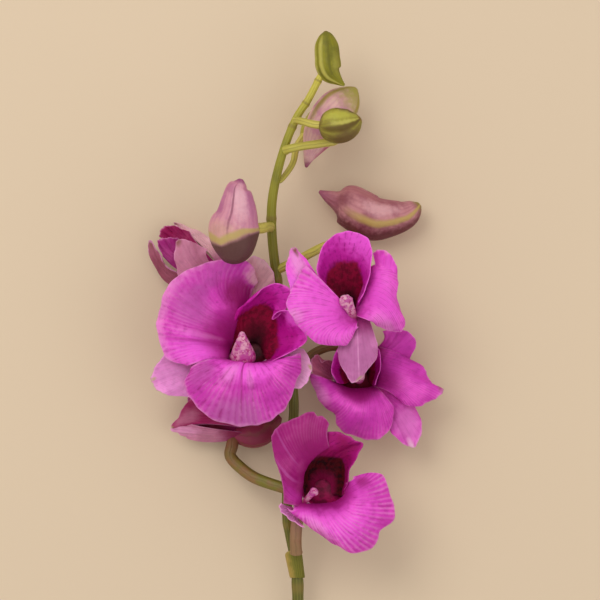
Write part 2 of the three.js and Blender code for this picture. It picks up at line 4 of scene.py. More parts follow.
import bpy
import numpy as np
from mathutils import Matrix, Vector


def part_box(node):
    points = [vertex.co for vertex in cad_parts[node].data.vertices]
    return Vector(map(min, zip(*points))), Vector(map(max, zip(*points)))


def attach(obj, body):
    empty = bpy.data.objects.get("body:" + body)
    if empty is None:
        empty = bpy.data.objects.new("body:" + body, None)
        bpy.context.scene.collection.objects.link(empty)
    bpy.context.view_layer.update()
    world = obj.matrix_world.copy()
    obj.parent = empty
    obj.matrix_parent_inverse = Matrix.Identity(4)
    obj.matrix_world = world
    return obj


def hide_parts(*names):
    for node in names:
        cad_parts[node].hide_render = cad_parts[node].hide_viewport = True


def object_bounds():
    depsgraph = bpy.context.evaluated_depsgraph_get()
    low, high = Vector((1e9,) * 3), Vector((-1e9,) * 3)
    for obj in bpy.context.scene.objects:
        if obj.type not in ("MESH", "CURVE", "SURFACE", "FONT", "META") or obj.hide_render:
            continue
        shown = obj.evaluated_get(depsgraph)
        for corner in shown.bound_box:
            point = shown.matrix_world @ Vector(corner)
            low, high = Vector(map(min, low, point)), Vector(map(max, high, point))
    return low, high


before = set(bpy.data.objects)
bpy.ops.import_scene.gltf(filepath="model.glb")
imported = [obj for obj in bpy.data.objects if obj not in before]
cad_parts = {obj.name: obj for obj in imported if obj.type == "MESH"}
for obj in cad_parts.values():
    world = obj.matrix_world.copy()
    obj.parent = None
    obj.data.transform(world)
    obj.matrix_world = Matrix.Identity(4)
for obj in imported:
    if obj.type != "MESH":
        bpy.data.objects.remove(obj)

bl_info = {
    "name": "Dendrobium Spray",
    "version": (1, 0, 0),
    "blender": (4, 5, 0),
    "location": "3D View > Sidebar > Orchid",
    "description": "Finishes the stem, blooms and buds of a cut dendrobium orchid spray",
    "category": "Object",
}

# The box of the plain model, before anything finished is added
CAD_LOW, CAD_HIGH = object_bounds()

MM = 0.001

# Stem, stalks, columns and buds are lists of x, y, z and radius in millimetres, the stem from its cut end.
STEM = [
    (-1, -166, 2.5, 2.2),
    (-1, -150, 2.8, 2.1),
    (-1, -128, 5, 2.05),
    (-1, -97, 10, 2),
    (-4.5, -75, 14, 1.85),
    (-3.5, -52.5, 17.3, 1.8),
    (-2.2, -35, 19, 1.75),
    (-5.5, -8, 20.8, 1.7),
    (-8, 7, 21.5, 1.7),
    (-9.8, 22.5, 22, 1.7),
    (-9.6, 36, 22.5, 1.65),
    (-6.2, 51, 23.2, 1.5),
    (-1.6, 63, 23.6, 1.4),
    (2.8, 70, 23.8, 1.3),
    (6.6, 77.2, 24, 1.25),
]

# The finished stem runs on into the bud at its tip.
STEM_END = [(8.2, 79.8, 24, 1.3), (9.4, 82, 24, 1.2)]

# Each bloom grows round a heart. Its blades are sheets drawn through three rows of points,
# measured from the heart: the claw where it joins, the middle, and the free rim.
# The chin is the cup behind the throat: the x, y and z of its mouth, its two radii and its depth.
BLOOMS = {
    "bloom_left": {
        "heart": (-19, -18, 30),
        "chin": (1.6, 5.6, -6.5, 9.5, 11, 6.5),
        "blades": {
            "petal_upper": {
                "claw": [(-6, -3, -2.4), (-4.4, 4, -4), (-2.2, 11.5, -5), (1.5, 16.6, -5.5)],
                "middle": [
                    (-13, -3, 5), (-17, 4, 6.5), (-16, 13.5, 4.5), (-9, 21.5, 0.5), (2.6, 21.5, -5),
                ],
                "rim": [
                    (-20, -5, 4), (-27.5, -2.5, 3), (-30.5, 8, 1.5), (-30, 17, 0), (-24, 26, -1.5),
                    (-11, 32, -2.5), (0.5, 31.5, -3), (4.5, 24, -4.6),
                ],
            },
            "petal_lower": {
                "claw": [(-6.4, -3, -2), (-1, -3.4, -4), (4, -4, -5), (9, -2.6, -3)],
                "middle": [
                    (-13, -2.6, 6), (-7, -7, 8.4), (1.5, -8.6, 7.5), (9.5, -6.6, 7.8), (15, -1.6, 5),
                ],
                "rim": [
                    (-19.5, -5.5, 3.5), (-20.8, -12, 2), (-16, -21, 0.5), (-1, -26.2, 0), (9, -24, 0),
                    (15.8, -16.5, 0.5), (18.6, -8, 1.5), (19.6, -0.2, 2.5),
                ],
            },
            "dorsal_sepal": {
                "claw": [(-5.6, -1.5, -5), (-5, -4.5, -5)],
                "middle": [(-15, 1.5, -2.5), (-16, -5, -1.5), (-13, -12, -2.5)],
                "rim": [
                    (-28, -0.5, -1.5), (-32, -6, -1.5), (-32.8, -11, -2), (-28, -15, -2),
                    (-19, -16, -2.5),
                ],
            },
            "lateral_sepal_right": {
                "claw": [(5, -4.5, -11.5), (5.6, -1, -12)],
                "middle": [(10, -9, -5), (12, -4, -4.6), (13, 1, -5)],
                "rim": [
                    (14, -12, -2.5), (18.5, -13, -2), (21.6, -10.6, -1.6), (23.2, -5, -1.6),
                    (20.5, 1, -2.5),
                ],
            },
            "lateral_sepal_upper": {
                "claw": [(-2, 3, -13), (2, 3.5, -13.2)],
                "middle": [(-4, 18, -8.8), (2, 19, -8.2), (7, 17, -8.6)],
                "rim": [
                    (-2, 29, -6.6), (2.5, 33.4, -5.8), (7.5, 31, -5.2), (10.3, 25.5, -5.2),
                    (9, 20, -6.2),
                ],
            },
            "lip": {
                "claw": [(-1, -1, -8), (0.4, 1.6, -10), (2.6, 3, -11), (5, 1.6, -10), (6, -1.5, -8)],
                "middle": [
                    (-5.4, 1, -5), (-4.6, 7, -5), (-2.4, 12, -4.5), (2, 15.5, -4), (7.5, 16, -3),
                    (10.5, 12.4, -3.4), (11, 6.5, -3.4), (10.5, 1, -3), (8, -4, -4),
                ],
                "rim": [
                    (-7.4, 2, -5.5), (-5.6, 9, -5.5), (-3, 14.5, -4), (2.2, 18.4, 0), (5.4, 21.4, 3),
                    (10, 24, 5), (14.6, 23, 5.6), (16.6, 18.6, 5), (13, 13.6, 2.4), (9.4, 11, 2.6),
                    (11, 13.6, 6), (15.5, 14.6, 7.4), (18.4, 9.6, 6.6), (21.4, 5.8, 5.6),
                    (20, 2.6, 5.6), (13, -1.2, 6), (7.6, -4.6, 1),
                ],
            },
        },
        "column": [
            (-0.8, -4, -4, 3.4), (-0.9, -2, -1, 4.6), (-1, 1, 2, 3.6), (-1.1, 4, 3.8, 2.2),
            (-1.2, 7, 4.6, 0.7),
        ],
        "stalk": [
            (-4.2, -31, 17.2, 1.9), (-9, -29.5, 15.6, 1.9), (-17, -24, 18, 2),
            (-20.4, -20.4, 22.4, 2.1),
        ],
    },
    "bloom_right": {
        "heart": (17.5, -6, 35),
        "chin": (-1.6, 9, -5, 8.4, 10.5, 6.5),
        "blades": {
            "petal_left": {
                "claw": [(0.4, 1.6, -1), (2.6, -1.4, -1)],
                "middle": [(-7.2, 10.2, 5.2), (-11, 5, 6), (-10, -2, 6), (-4, -6, 4.6), (2.4, -3, 1.5)],
                "rim": [
                    (-15.4, 18.4, 4.4), (-20.8, 9.4, 4), (-22.2, 5, 4.4), (-20.3, -0.7, 4.4),
                    (-15.7, -5.7, 4.2), (-8.5, -9.8, 3.6), (-3.4, -9.8, 2.6), (0.4, -7.6, 2),
                    (2.8, -3.2, 1.4),
                ],
            },
            "petal_right": {
                "claw": [(1.4, 0.6, -1.5), (2.4, 5.5, -3), (4.4, 11, -2), (6.6, 17.5, 0)],
                "middle": [(5.4, -0.8, 4), (10.5, 2, 5.6), (11.6, 8, 5.4), (11, 13.6, 4), (10, 19, 2.2)],
                "rim": [
                    (8, -1.8, 2), (11, -3.3, 1.6), (15.6, -5.7, 1), (18.5, -3.4, 1), (18.2, 1.5, 1.6),
                    (16.1, 7.8, 3), (16, 14.8, 3), (14.4, 20.4, 2.4),
                ],
            },
            "dorsal_sepal": {
                "claw": [(-1.5, 1.6, -4.6), (6, 2, -4.6)],
                "middle": [(-4, -9.4, -1.2), (2.6, -9.6, 0.8), (9, -7.6, -1.2)],
                "rim": [
                    (-4.4, -12, -0.8), (-2.8, -17.6, -0.6), (0.8, -22.9, -0.6), (5.2, -19.6, -0.6),
                    (9, -14, -0.8), (9.6, -9, -1),
                ],
            },
            "lateral_sepal_left": {
                "claw": [(-5, 3.4, -6.6), (-4.6, 0.4, -6.8)],
                "middle": [(-10, 12.4, 1), (-13, 9, 2), (-14, 4, 1)],
                "rim": [(-15.6, 20, 2.4), (-19.9, 24.6, 3), (-22.4, 17.5, 2.6), (-20.8, 9, 2)],
            },
            "lateral_sepal_right": {
                "claw": [(5.2, 4.6, -6.6), (5.6, 1.6, -6.8)],
                "middle": [(8.6, 13, 0.6), (11.5, 10.5, 1.8), (12.5, 5, 0.6)],
                "rim": [
                    (7.6, 22.6, 2), (11, 23.6, 2.4), (14.4, 21.4, 2.6), (16.4, 16, 2.2),
                    (16.2, 9, 1.4),
                ],
            },
            "lip": {
                "claw": [
                    (-1.6, 1.6, -7), (-1.4, 4.4, -9), (0, 5.8, -9.8), (1.4, 4.4, -9), (1.6, 1.6, -7),
                ],
                "middle": [
                    (-5.4, 5, -4.5), (-8, 11, -3.4), (-7.4, 15.4, -2.4), (-4, 18, -1.6),
                    (-1, 18.6, -1.2), (2.2, 17.6, -1.6), (4.4, 13.6, -2.4), (4, 8, -3.4),
                    (2.4, 2.6, -4.5),
                ],
                "rim": [
                    (-7, 8, 0), (-10.6, 13, 4.4), (-11.2, 19.5, 6.4), (-9.4, 25.6, 7),
                    (-4.4, 28.8, 7.2), (0.8, 30, 7), (5.4, 27.8, 6.6), (7.4, 22.6, 6.4),
                    (7.2, 16.6, 6), (5, 10.4, 5), (3, 5, 2),
                ],
            },
        },
        "column": [
            (1.2, -0.6, -2, 1.2), (0.6, 1.6, 1, 1.5), (-0.6, 4, 3, 2), (-1.6, 6, 3.8, 2.5),
            (-1.9, 7.8, 3.8, 1.2),
        ],
        "stalk": [(-2.6, -7, 22, 1.6), (3, -4.4, 22, 1.6), (12, -5, 22.4, 1.7), (17.4, -7.4, 26, 1.8)],
    },
    "bloom_rear": {
        "heart": (21.5, -26, 16),
        "chin": (-1.5, 1.5, -4.6, 9, 9, 6),
        "blades": {
            "petal_lower": {
                "claw": [(-9, -3, -3), (-4, -5, -3), (1, -5, -3), (5.4, -4.6, -3)],
                "middle": [(-14, -1, 3), (-8, -8, 6), (-1, -12, 6.8), (5, -10.5, 5.6), (8.4, -7.6, 1.6)],
                "rim": [
                    (-17.8, 0.6, 2), (-17.4, -4.6, 2), (-14.2, -9.4, 1.8), (-10.2, -13.8, 1.5),
                    (-8.4, -17.8, 1.2), (-3.8, -21.6, 0.8), (2, -23.2, 0.5), (7.6, -22, 0.5),
                    (11.2, -17.6, 1), (10.8, -11, 1.2),
                ],
            },
            "petal_right": {
                "claw": [(4.6, -4.6, -3), (4.4, 0, -4), (5, 5, -3.4), (6.4, 9.6, -2)],
                "middle": [(9.4, -6, 1.6), (13, -4, 5), (13.6, 0.6, 5), (12.4, 5, 3), (11.6, 8, 0.6)],
                "rim": [
                    (13, -9.2, 0.6), (17.4, -11, 1.6), (22.4, -11, 1.6), (26, -8.6, 1.5),
                    (29, -5.8, 1), (25.8, -3.6, 1.5), (22.6, 0.6, 1.6), (21.2, 3.2, 1.6),
                    (17, 5.6, 1.2),
                ],
            },
            "dorsal_sepal": {
                "claw": [(1.8, -5, -4.6), (5.4, -4, -4.6)],
                "middle": [(7, -13.4, -2.6), (11.5, -11, -1.4), (14.5, -8, -2.6)],
                "rim": [
                    (10.4, -20.6, -2), (15, -24.8, -1.6), (18.8, -25.8, -1.6), (21.3, -21, -1.6),
                    (21, -16, -2), (18.6, -10.6, -2.6),
                ],
            },
            "lateral_sepal_left": {
                "claw": [(-6.8, 0.6, -7), (-6.4, -2, -7)],
                "middle": [(-10.6, 4.6, -5), (-11.6, 1, -4.6), (-11, -2.2, -5)],
                "rim": [(-13.6, 3.8, -1.2), (-16, 6.8, -0.6), (-17.6, 4, -0.4), (-16.8, -1, -1.2)],
            },
            "lateral_sepal_upper": {
                "claw": [(5, 9, -4.6), (6, 2, -4.6)],
                "middle": [(8, 12, -1.2), (12, 9, 0.6), (12.5, 4, -1.2)],
                "rim": [
                    (7.4, 15, -0.2), (11.4, 16, 0), (14.2, 15.6, 0.2), (17.6, 14.2, 0.4),
                    (19.5, 11, 0.2), (18.2, 7.6, 0), (17, 4.6, -0.6),
                ],
            },
            "lip": {
                "claw": [
                    (-3.4, -2.4, -7.5), (-2.6, 0.6, -9), (-0.6, 1.8, -9.4), (1.8, 0.8, -9),
                    (2.6, -2.2, -7.5),
                ],
                "middle": [
                    (-6, -3.6, -3), (-7.4, 1.6, -2.4), (-4.6, 6.4, -2), (0, 8.4, -2), (4, 6, -2.4),
                    (5, 1, -2.8), (4, -4, -3),
                ],
                "rim": [
                    (-8.6, -3, 1), (-10, 0.6, 3.4), (-10.2, 5, 4.6), (-8, 9.6, 5.2), (-3, 12.4, 5.4),
                    (2, 12.6, 4.6), (5.6, 9.6, 3.4), (6.6, 5, 2), (6.4, 0, 1), (5, -4, 0),
                ],
            },
        },
        "column": [
            (-0.6, -2.8, -1.6, 1.2), (-0.8, -1.8, 1.2, 1.9), (-0.9, 0, 3.2, 2.2), (-1, 2.2, 3.6, 1.6),
        ],
        "stalk": [
            (0.2, -24, 17.4, 1.6), (4.5, -19, 11.4, 1.6), (12, -16.4, 6.5, 1.6), (19.4, -19, 3.6, 1.7),
            (22.4, -24, 3.8, 1.8),
        ],
    },
    "bloom_low": {
        "heart": (2, -70, 27),
        "chin": (6, 6.5, -5.5, 9, 9.5, 7),
        "blades": {
            "petal_upper": {
                "claw": [(-1.4, -2.4, -2), (-1, 5, -2), (0, 10.5, -2.4), (3.4, 15, -2), (8.4, 18.6, 0)],
                "middle": [
                    (-4.6, -1.6, 2), (-5.6, 6.4, 3.6), (-5, 14, 3), (0, 20.5, 1.6), (7.6, 23, 2),
                ],
                "rim": [
                    (-7.6, -1, 4.4), (-8.4, 6, 5.4), (-9.4, 11.5, 5.4), (-11.3, 17, 5), (-12, 22.6, 4),
                    (-9.6, 26, 3.6), (-4.6, 28.6, 3.4), (1.6, 31.2, 3.4), (5.2, 30.4, 3.6),
                    (8, 26.4, 3.8),
                ],
            },
            "petal_lower": {
                "claw": [
                    (-4.4, -0.8, -1), (1.6, -1.2, -3), (6, -1.2, -4), (10.4, -0.4, -3.4), (13.4, 2, -2),
                    (14, 6, -1.5),
                ],
                "middle": [
                    (-4.6, -3.4, 1), (2, -6.4, 4.4), (8.4, -9, 6), (15.4, -7, 6.6), (20, -1, 5),
                    (19, 5, 2.6), (16.4, 7.4, 1),
                ],
                "rim": [
                    (-6.6, -2.4, 0.6), (-2.2, -5.8, 1.2), (2.8, -10.6, 1.4), (7.6, -14.4, 1.2),
                    (11.6, -15.6, 1), (16.6, -18.2, 0.7), (23.2, -17.2, 0.6), (26.8, -12.6, 0.7),
                    (30.2, -7, 0.8), (31.2, -2, 1), (29.6, 3, 1.4), (27.4, 8, 1.8), (23.8, 9.8, 2),
                    (19.6, 9.4, 2), (16.2, 8.2, 1),
                ],
            },
            "dorsal_sepal": {
                "claw": [(-4.8, -2.6, -4.6), (-2.4, -5, -4.6)],
                "middle": [(-7.2, -2, -2.4), (-5.6, -4.4, -2.2), (-2.4, -7.4, -2.4)],
                "rim": [(-8.8, -0.8, 1), (-9, -3.2, 0.6), (-5.4, -6.8, -0.4), (-0.2, -9.6, -0.6)],
            },
            "lateral_sepal_upper": {
                "claw": [(4, 3, -13.4), (7.4, 3.4, -13.4)],
                "middle": [(-2.6, 16, -9.6), (2, 17, -9), (6, 15, -9.6)],
                "rim": [
                    (-4, 24, -4.6), (-1, 28, -3.4), (1.6, 29.6, -3), (4, 27.6, -3.4), (5.6, 23.6, -5),
                ],
            },
            "lateral_sepal_right": {
                "claw": [(3.8, -5.4, -5.6), (5.4, -1.6, -5.6)],
                "middle": [(10, -9, -3), (13, -5.4, -2), (13.4, -0.6, -3)],
                "rim": [
                    (19, -10.4, -2), (24, -7.6, -1.6), (26.4, -4.4, -1.4), (25.4, -1, -1.6),
                    (21, 3, -2),
                ],
            },
            "lip": {
                "claw": [(3, 2, -9), (3.4, 5.4, -10.6), (5.8, 7, -11.4), (8.4, 5.4, -10.6), (9, 2, -9)],
                "middle": [
                    (-0.6, 0.6, -5), (-1, 6, -4.6), (0.6, 12.4, -4.6), (4, 14.4, -4.4),
                    (9, 14.8, -4.4), (13, 13.2, -4.4), (13.6, 8, -4.4), (12.6, 1.4, -5),
                ],
                "rim": [
                    (-1.6, 4, -3.6), (-1.4, 11, -3.6), (1.4, 17.6, -3), (4.4, 22, -1.4),
                    (9.4, 24.4, 1.6), (13.8, 23, 3.6), (17.6, 21.2, 4.6), (20, 20.2, 5), (18, 16, 4.4),
                    (17, 12.6, 3.4), (15, 10.6, 2.4), (14.4, 6, 0.4), (13.6, 3, -1.6),
                ],
            },
        },
        "column": [
            (-0.8, -1, -3, 0.9), (0.6, 0.6, -0.6, 1), (2, 2.2, 1.4, 1.2), (3.2, 3.3, 2.4, 1.6),
            (3.9, 3.9, 2.6, 0.7),
        ],
        "stalk": [
            (-1.3, -89.2, 15.8, 2.1), (-1.5, -84, 18, 2.1), (-1, -78, 19, 2.1), (0.6, -73.2, 19, 2),
        ],
    },
    "half_open_low": {
        "heart": (-21, -46, 6.9),
        "blades": {
            "dorsal_sepal": {
                "claw": [(1, 4, 2.4), (0.4, 1, 2.8)],
                "middle": [(-9, 10, 4.4), (-12, 5.6, 4.8), (-11.6, 2.2, 4)],
                "rim": [
                    (-14, 13, 1.6), (-18.4, 10.5, 2.4), (-21.9, 4.9, 3.2), (-24.7, 1, 3.4),
                    (-19.2, 1.4, 3.2),
                ],
            },
            "lateral_sepal_front": {
                "claw": [(0.6, -0.6, 2.4), (-0.6, -3, 0.6)],
                "middle": [(-11.2, 1, 4.4), (-11.6, -1.4, 3.4), (-11, -4.2, -0.6)],
                "rim": [(-17.5, 2.4, 3.6), (-24.7, 0.8, 2.6), (-22, -1, 1.4), (-18.6, -2.6, 0.2)],
            },
            "lateral_sepal_rear": {
                "claw": [(-1.6, 1.4, -2.6), (-1.2, -1.8, -3)],
                "middle": [(-12, 3.6, -5.4), (-13, 0, -6), (-11, -3.2, -5)],
                "rim": [(-19, 6, -5.6), (-22.6, 2.4, -5.4), (-21, 0, -5), (-17, -2, -4.4)],
            },
            "petal_upper": {
                "claw": [(0.6, 4.4, 0), (-1.4, 2.6, 0.8)],
                "middle": [(-7, 11, 0.6), (-10, 8, 1.6), (-11, 4, 2)],
                "rim": [(-14, 14, -1.4), (-18, 12, -0.6), (-19, 8, 0.6), (-18, 4, 1.2)],
            },
            "petal_lower": {
                "claw": [(0.6, 3, 2), (0, -1, 0.6)],
                "middle": [(-9, 5, 2), (-10, 1.5, 1.2), (-9, -1.6, -0.6)],
                "rim": [(-16, 5, 1), (-18.6, 2, 0.4), (-17, 0, -0.6), (-14, -1.6, -1.6)],
            },
        },
        "spur": [
            (-2.4, -0.6, 0.4, 2.4), (1, -1.6, 0, 4), (4.5, -1.6, 0, 4.9), (8, -0.2, 0, 4.9),
            (11, 2.4, 0, 3.7), (13.8, 5.2, 0, 1.4),
        ],
        "stalk": [
            (-3.8, -66.6, 15.4, 1.9), (-7.4, -65.6, 15, 2), (-15.8, -62.7, 12, 2.1), (-21.6, -58.6, 9.4, 2.1),
            (-24.6, -55, 8, 2.1), (-24, -51.6, 7.4, 2.2), (-23.2, -48.2, 6.2, 2.2),
            (-21.4, -46.4, 5.4, 2),
        ],
    },
    "half_open_high": {
        "heart": (-30, 9, 7.8),
        "blades": {
            "sepal_left": {
                "claw": [(-3.6, -4, -0.6), (-3.4, -1.8, 1.4)],
                "middle": [(-15, -4, -1.6), (-15, -1.6, 0.6), (-13.8, 1, 3)],
                "rim": [
                    (-21, 3, -2), (-23.7, 9, -1), (-23, 12.1, 0), (-20.4, 8.6, 2.4), (-17.6, 3.6, 3.4),
                ],
            },
            "sepal_front": {
                "claw": [(-2.6, -3.4, 4.4), (1.4, 1, 4.8)],
                "middle": [(-7, -2.4, 6), (-7.4, 3, 9), (-2.6, 5.6, 7)],
                "rim": [
                    (-12.8, -1, 5), (-14.2, 6.5, 6.8), (-13, 12.2, 7.6), (-8.5, 11.7, 8),
                    (-2.5, 8.8, 7),
                ],
            },
            "sepal_rear": {
                "claw": [(1, 3.4, -5.4), (3.4, 3.4, -5.4)],
                "middle": [(-4.6, 10, -5.2), (-3, 11.8, -6), (-0.6, 11.4, -6.8)],
                "rim": [(-11, 14.6, -4.6), (-14.8, 18.4, -4.8), (-9, 16.4, -6.4), (-4.6, 14, -7.2)],
            },
            "petal_left": {
                "claw": [(-3, -0.4, 1), (-2.2, 2.2, 1)],
                "middle": [(-12.4, 1.4, 2.4), (-12, 4.6, 3.8), (-10.4, 7.4, 3)],
                "rim": [(-18, 6.4, 3.4), (-20.4, 11.6, 3.6), (-17, 13, 4), (-12.6, 12.8, 4)],
            },
            "petal_right": {
                "claw": [(-1.6, 3, -2), (0.6, 3.6, -2.6)],
                "middle": [(-11.4, 8.6, -1.4), (-10, 11, -2.4), (-6.6, 11.4, -3.2)],
                "rim": [(-20, 13.4, 0), (-18.4, 16.8, -1), (-14, 17.2, -2), (-8.6, 14.6, -2.6)],
            },
        },
        "spur": [
            (-1.8, -0.8, 0, 2.2), (1.6, 0.2, 0, 4), (6, 1, 0, 4.4), (10, 1, 0, 3), (12.4, 0.6, 0, 1.2),
        ],
        "stalk": [(-9.4, -3, 18.6, 1.7), (-15, -2, 13, 1.7), (-21, -0.6, 9.4, 1.8), (-27.6, 3.6, 7.6, 2)],
    },
}

# A bud runs from its spur or base to its tip.
BUDS = {
    "bud_left": {
        "body": [
            (-20.4, 42, 40.6, 0.7), (-20.9, 40.4, 40.6, 2.4), (-21.6, 38.5, 40.4, 4.2),
            (-21.7, 35, 40, 5.6), (-21.9, 29.8, 40, 7.2), (-22.9, 24.5, 40.4, 8.9),
            (-23, 17.5, 41, 7), (-23.4, 13.6, 41.6, 3.6), (-23.5, 12.5, 41.8, 0.8),
        ],
        "stalk": [
            (-10.4, 25.6, 24, 1.6), (-11.8, 25.4, 30, 1.8), (-13.4, 25, 35, 1.9), (-15.6, 24.8, 38, 1.9),
        ],
    },
    "bud_right": {
        "body": [
            (6.7, 38.4, 7.6, 0.5), (10, 36.6, 7.6, 2.2), (13, 35.2, 7.6, 3.6), (16, 34.2, 7.6, 7),
            (20, 31.8, 7.6, 7.8), (25.4, 28.9, 7.6, 8), (31, 28.8, 7.6, 6.8), (36.8, 30, 7.6, 5.3),
            (40.4, 32.3, 7.6, 3.4), (42.3, 33.9, 7.6, 0.9),
        ],
        "stalk": [
            (-7.8, 10.6, 21.4, 1.6), (-6.2, 11.4, 21.6, 1.6), (0, 14.4, 20.4, 1.6), (8, 18.6, 16.4, 1.6),
            (14.6, 20.6, 12.4, 1.8), (21, 23.6, 8.6, 1.8),
        ],
    },
    "bud_rear": {
        "body": [
            (2.1, 46.6, 15, 0.4), (3, 49.7, 15, 1.8), (4.6, 53.6, 15, 3.8), (6.7, 57.8, 15, 5.9),
            (9.8, 62.3, 15, 7.4), (13.3, 67.2, 15, 7.2), (16.5, 70.7, 15, 5.6), (18.6, 73.2, 15, 3),
            (19.8, 74.6, 15, 0.6),
        ],
        "stalk": [
            (-5.2, 52.4, 24, 1.5), (-3.2, 53, 25.6, 1.5), (1.5, 53.9, 25.4, 1.45), (8.6, 55, 24.2, 1.5),
            (12.4, 56.2, 22.4, 1.7), (11.8, 60, 17.6, 1.7),
        ],
    },
    "bud_front": {
        "body": [
            (6.5, 60.6, 32, 0.9), (8, 60.6, 32, 4.2), (11.2, 60.7, 32, 6), (14.7, 60.9, 32, 6.1),
            (18.2, 62, 32.4, 4.8), (20.4, 63, 32.8, 2.3), (21.1, 63.4, 33, 0.5),
        ],
        "stalk": [
            (-1.6, 62.8, 24, 1.3), (-0.2, 62.6, 26.8, 1.3), (1.8, 62, 29.4, 1.3), (5, 61.2, 31.2, 1.4),
            (8.6, 60.8, 32, 1.4),
        ],
    },
    "bud_hidden": {
        "body": [
            (0.5, 57.6, 3.6, 0.8), (3, 61, 3.6, 2.6), (6.5, 65, 3.6, 3.3), (10, 68.5, 3.6, 2.6),
            (12, 70.6, 3.6, 0.7),
        ],
        "stalk": [
            (-8, 41.6, 22.4, 1), (-6.2, 42.6, 20.4, 1), (-2.6, 48, 14, 1.1), (-1.2, 54, 7, 1.2),
            (1.6, 58.8, 3.8, 1.2),
        ],
    },
    "bud_tip": {
        "body": [
            (8.9, 94.2, 24, 0.4), (9.1, 92.6, 24, 2.4), (9.3, 89.2, 24, 4.1), (9.6, 84.7, 24, 4.4),
            (9.9, 82, 24, 4.5), (10.8, 79.2, 24, 3.7), (13.6, 76.6, 24, 1.6), (15.6, 75.1, 24, 0.4),
        ],
    },
}

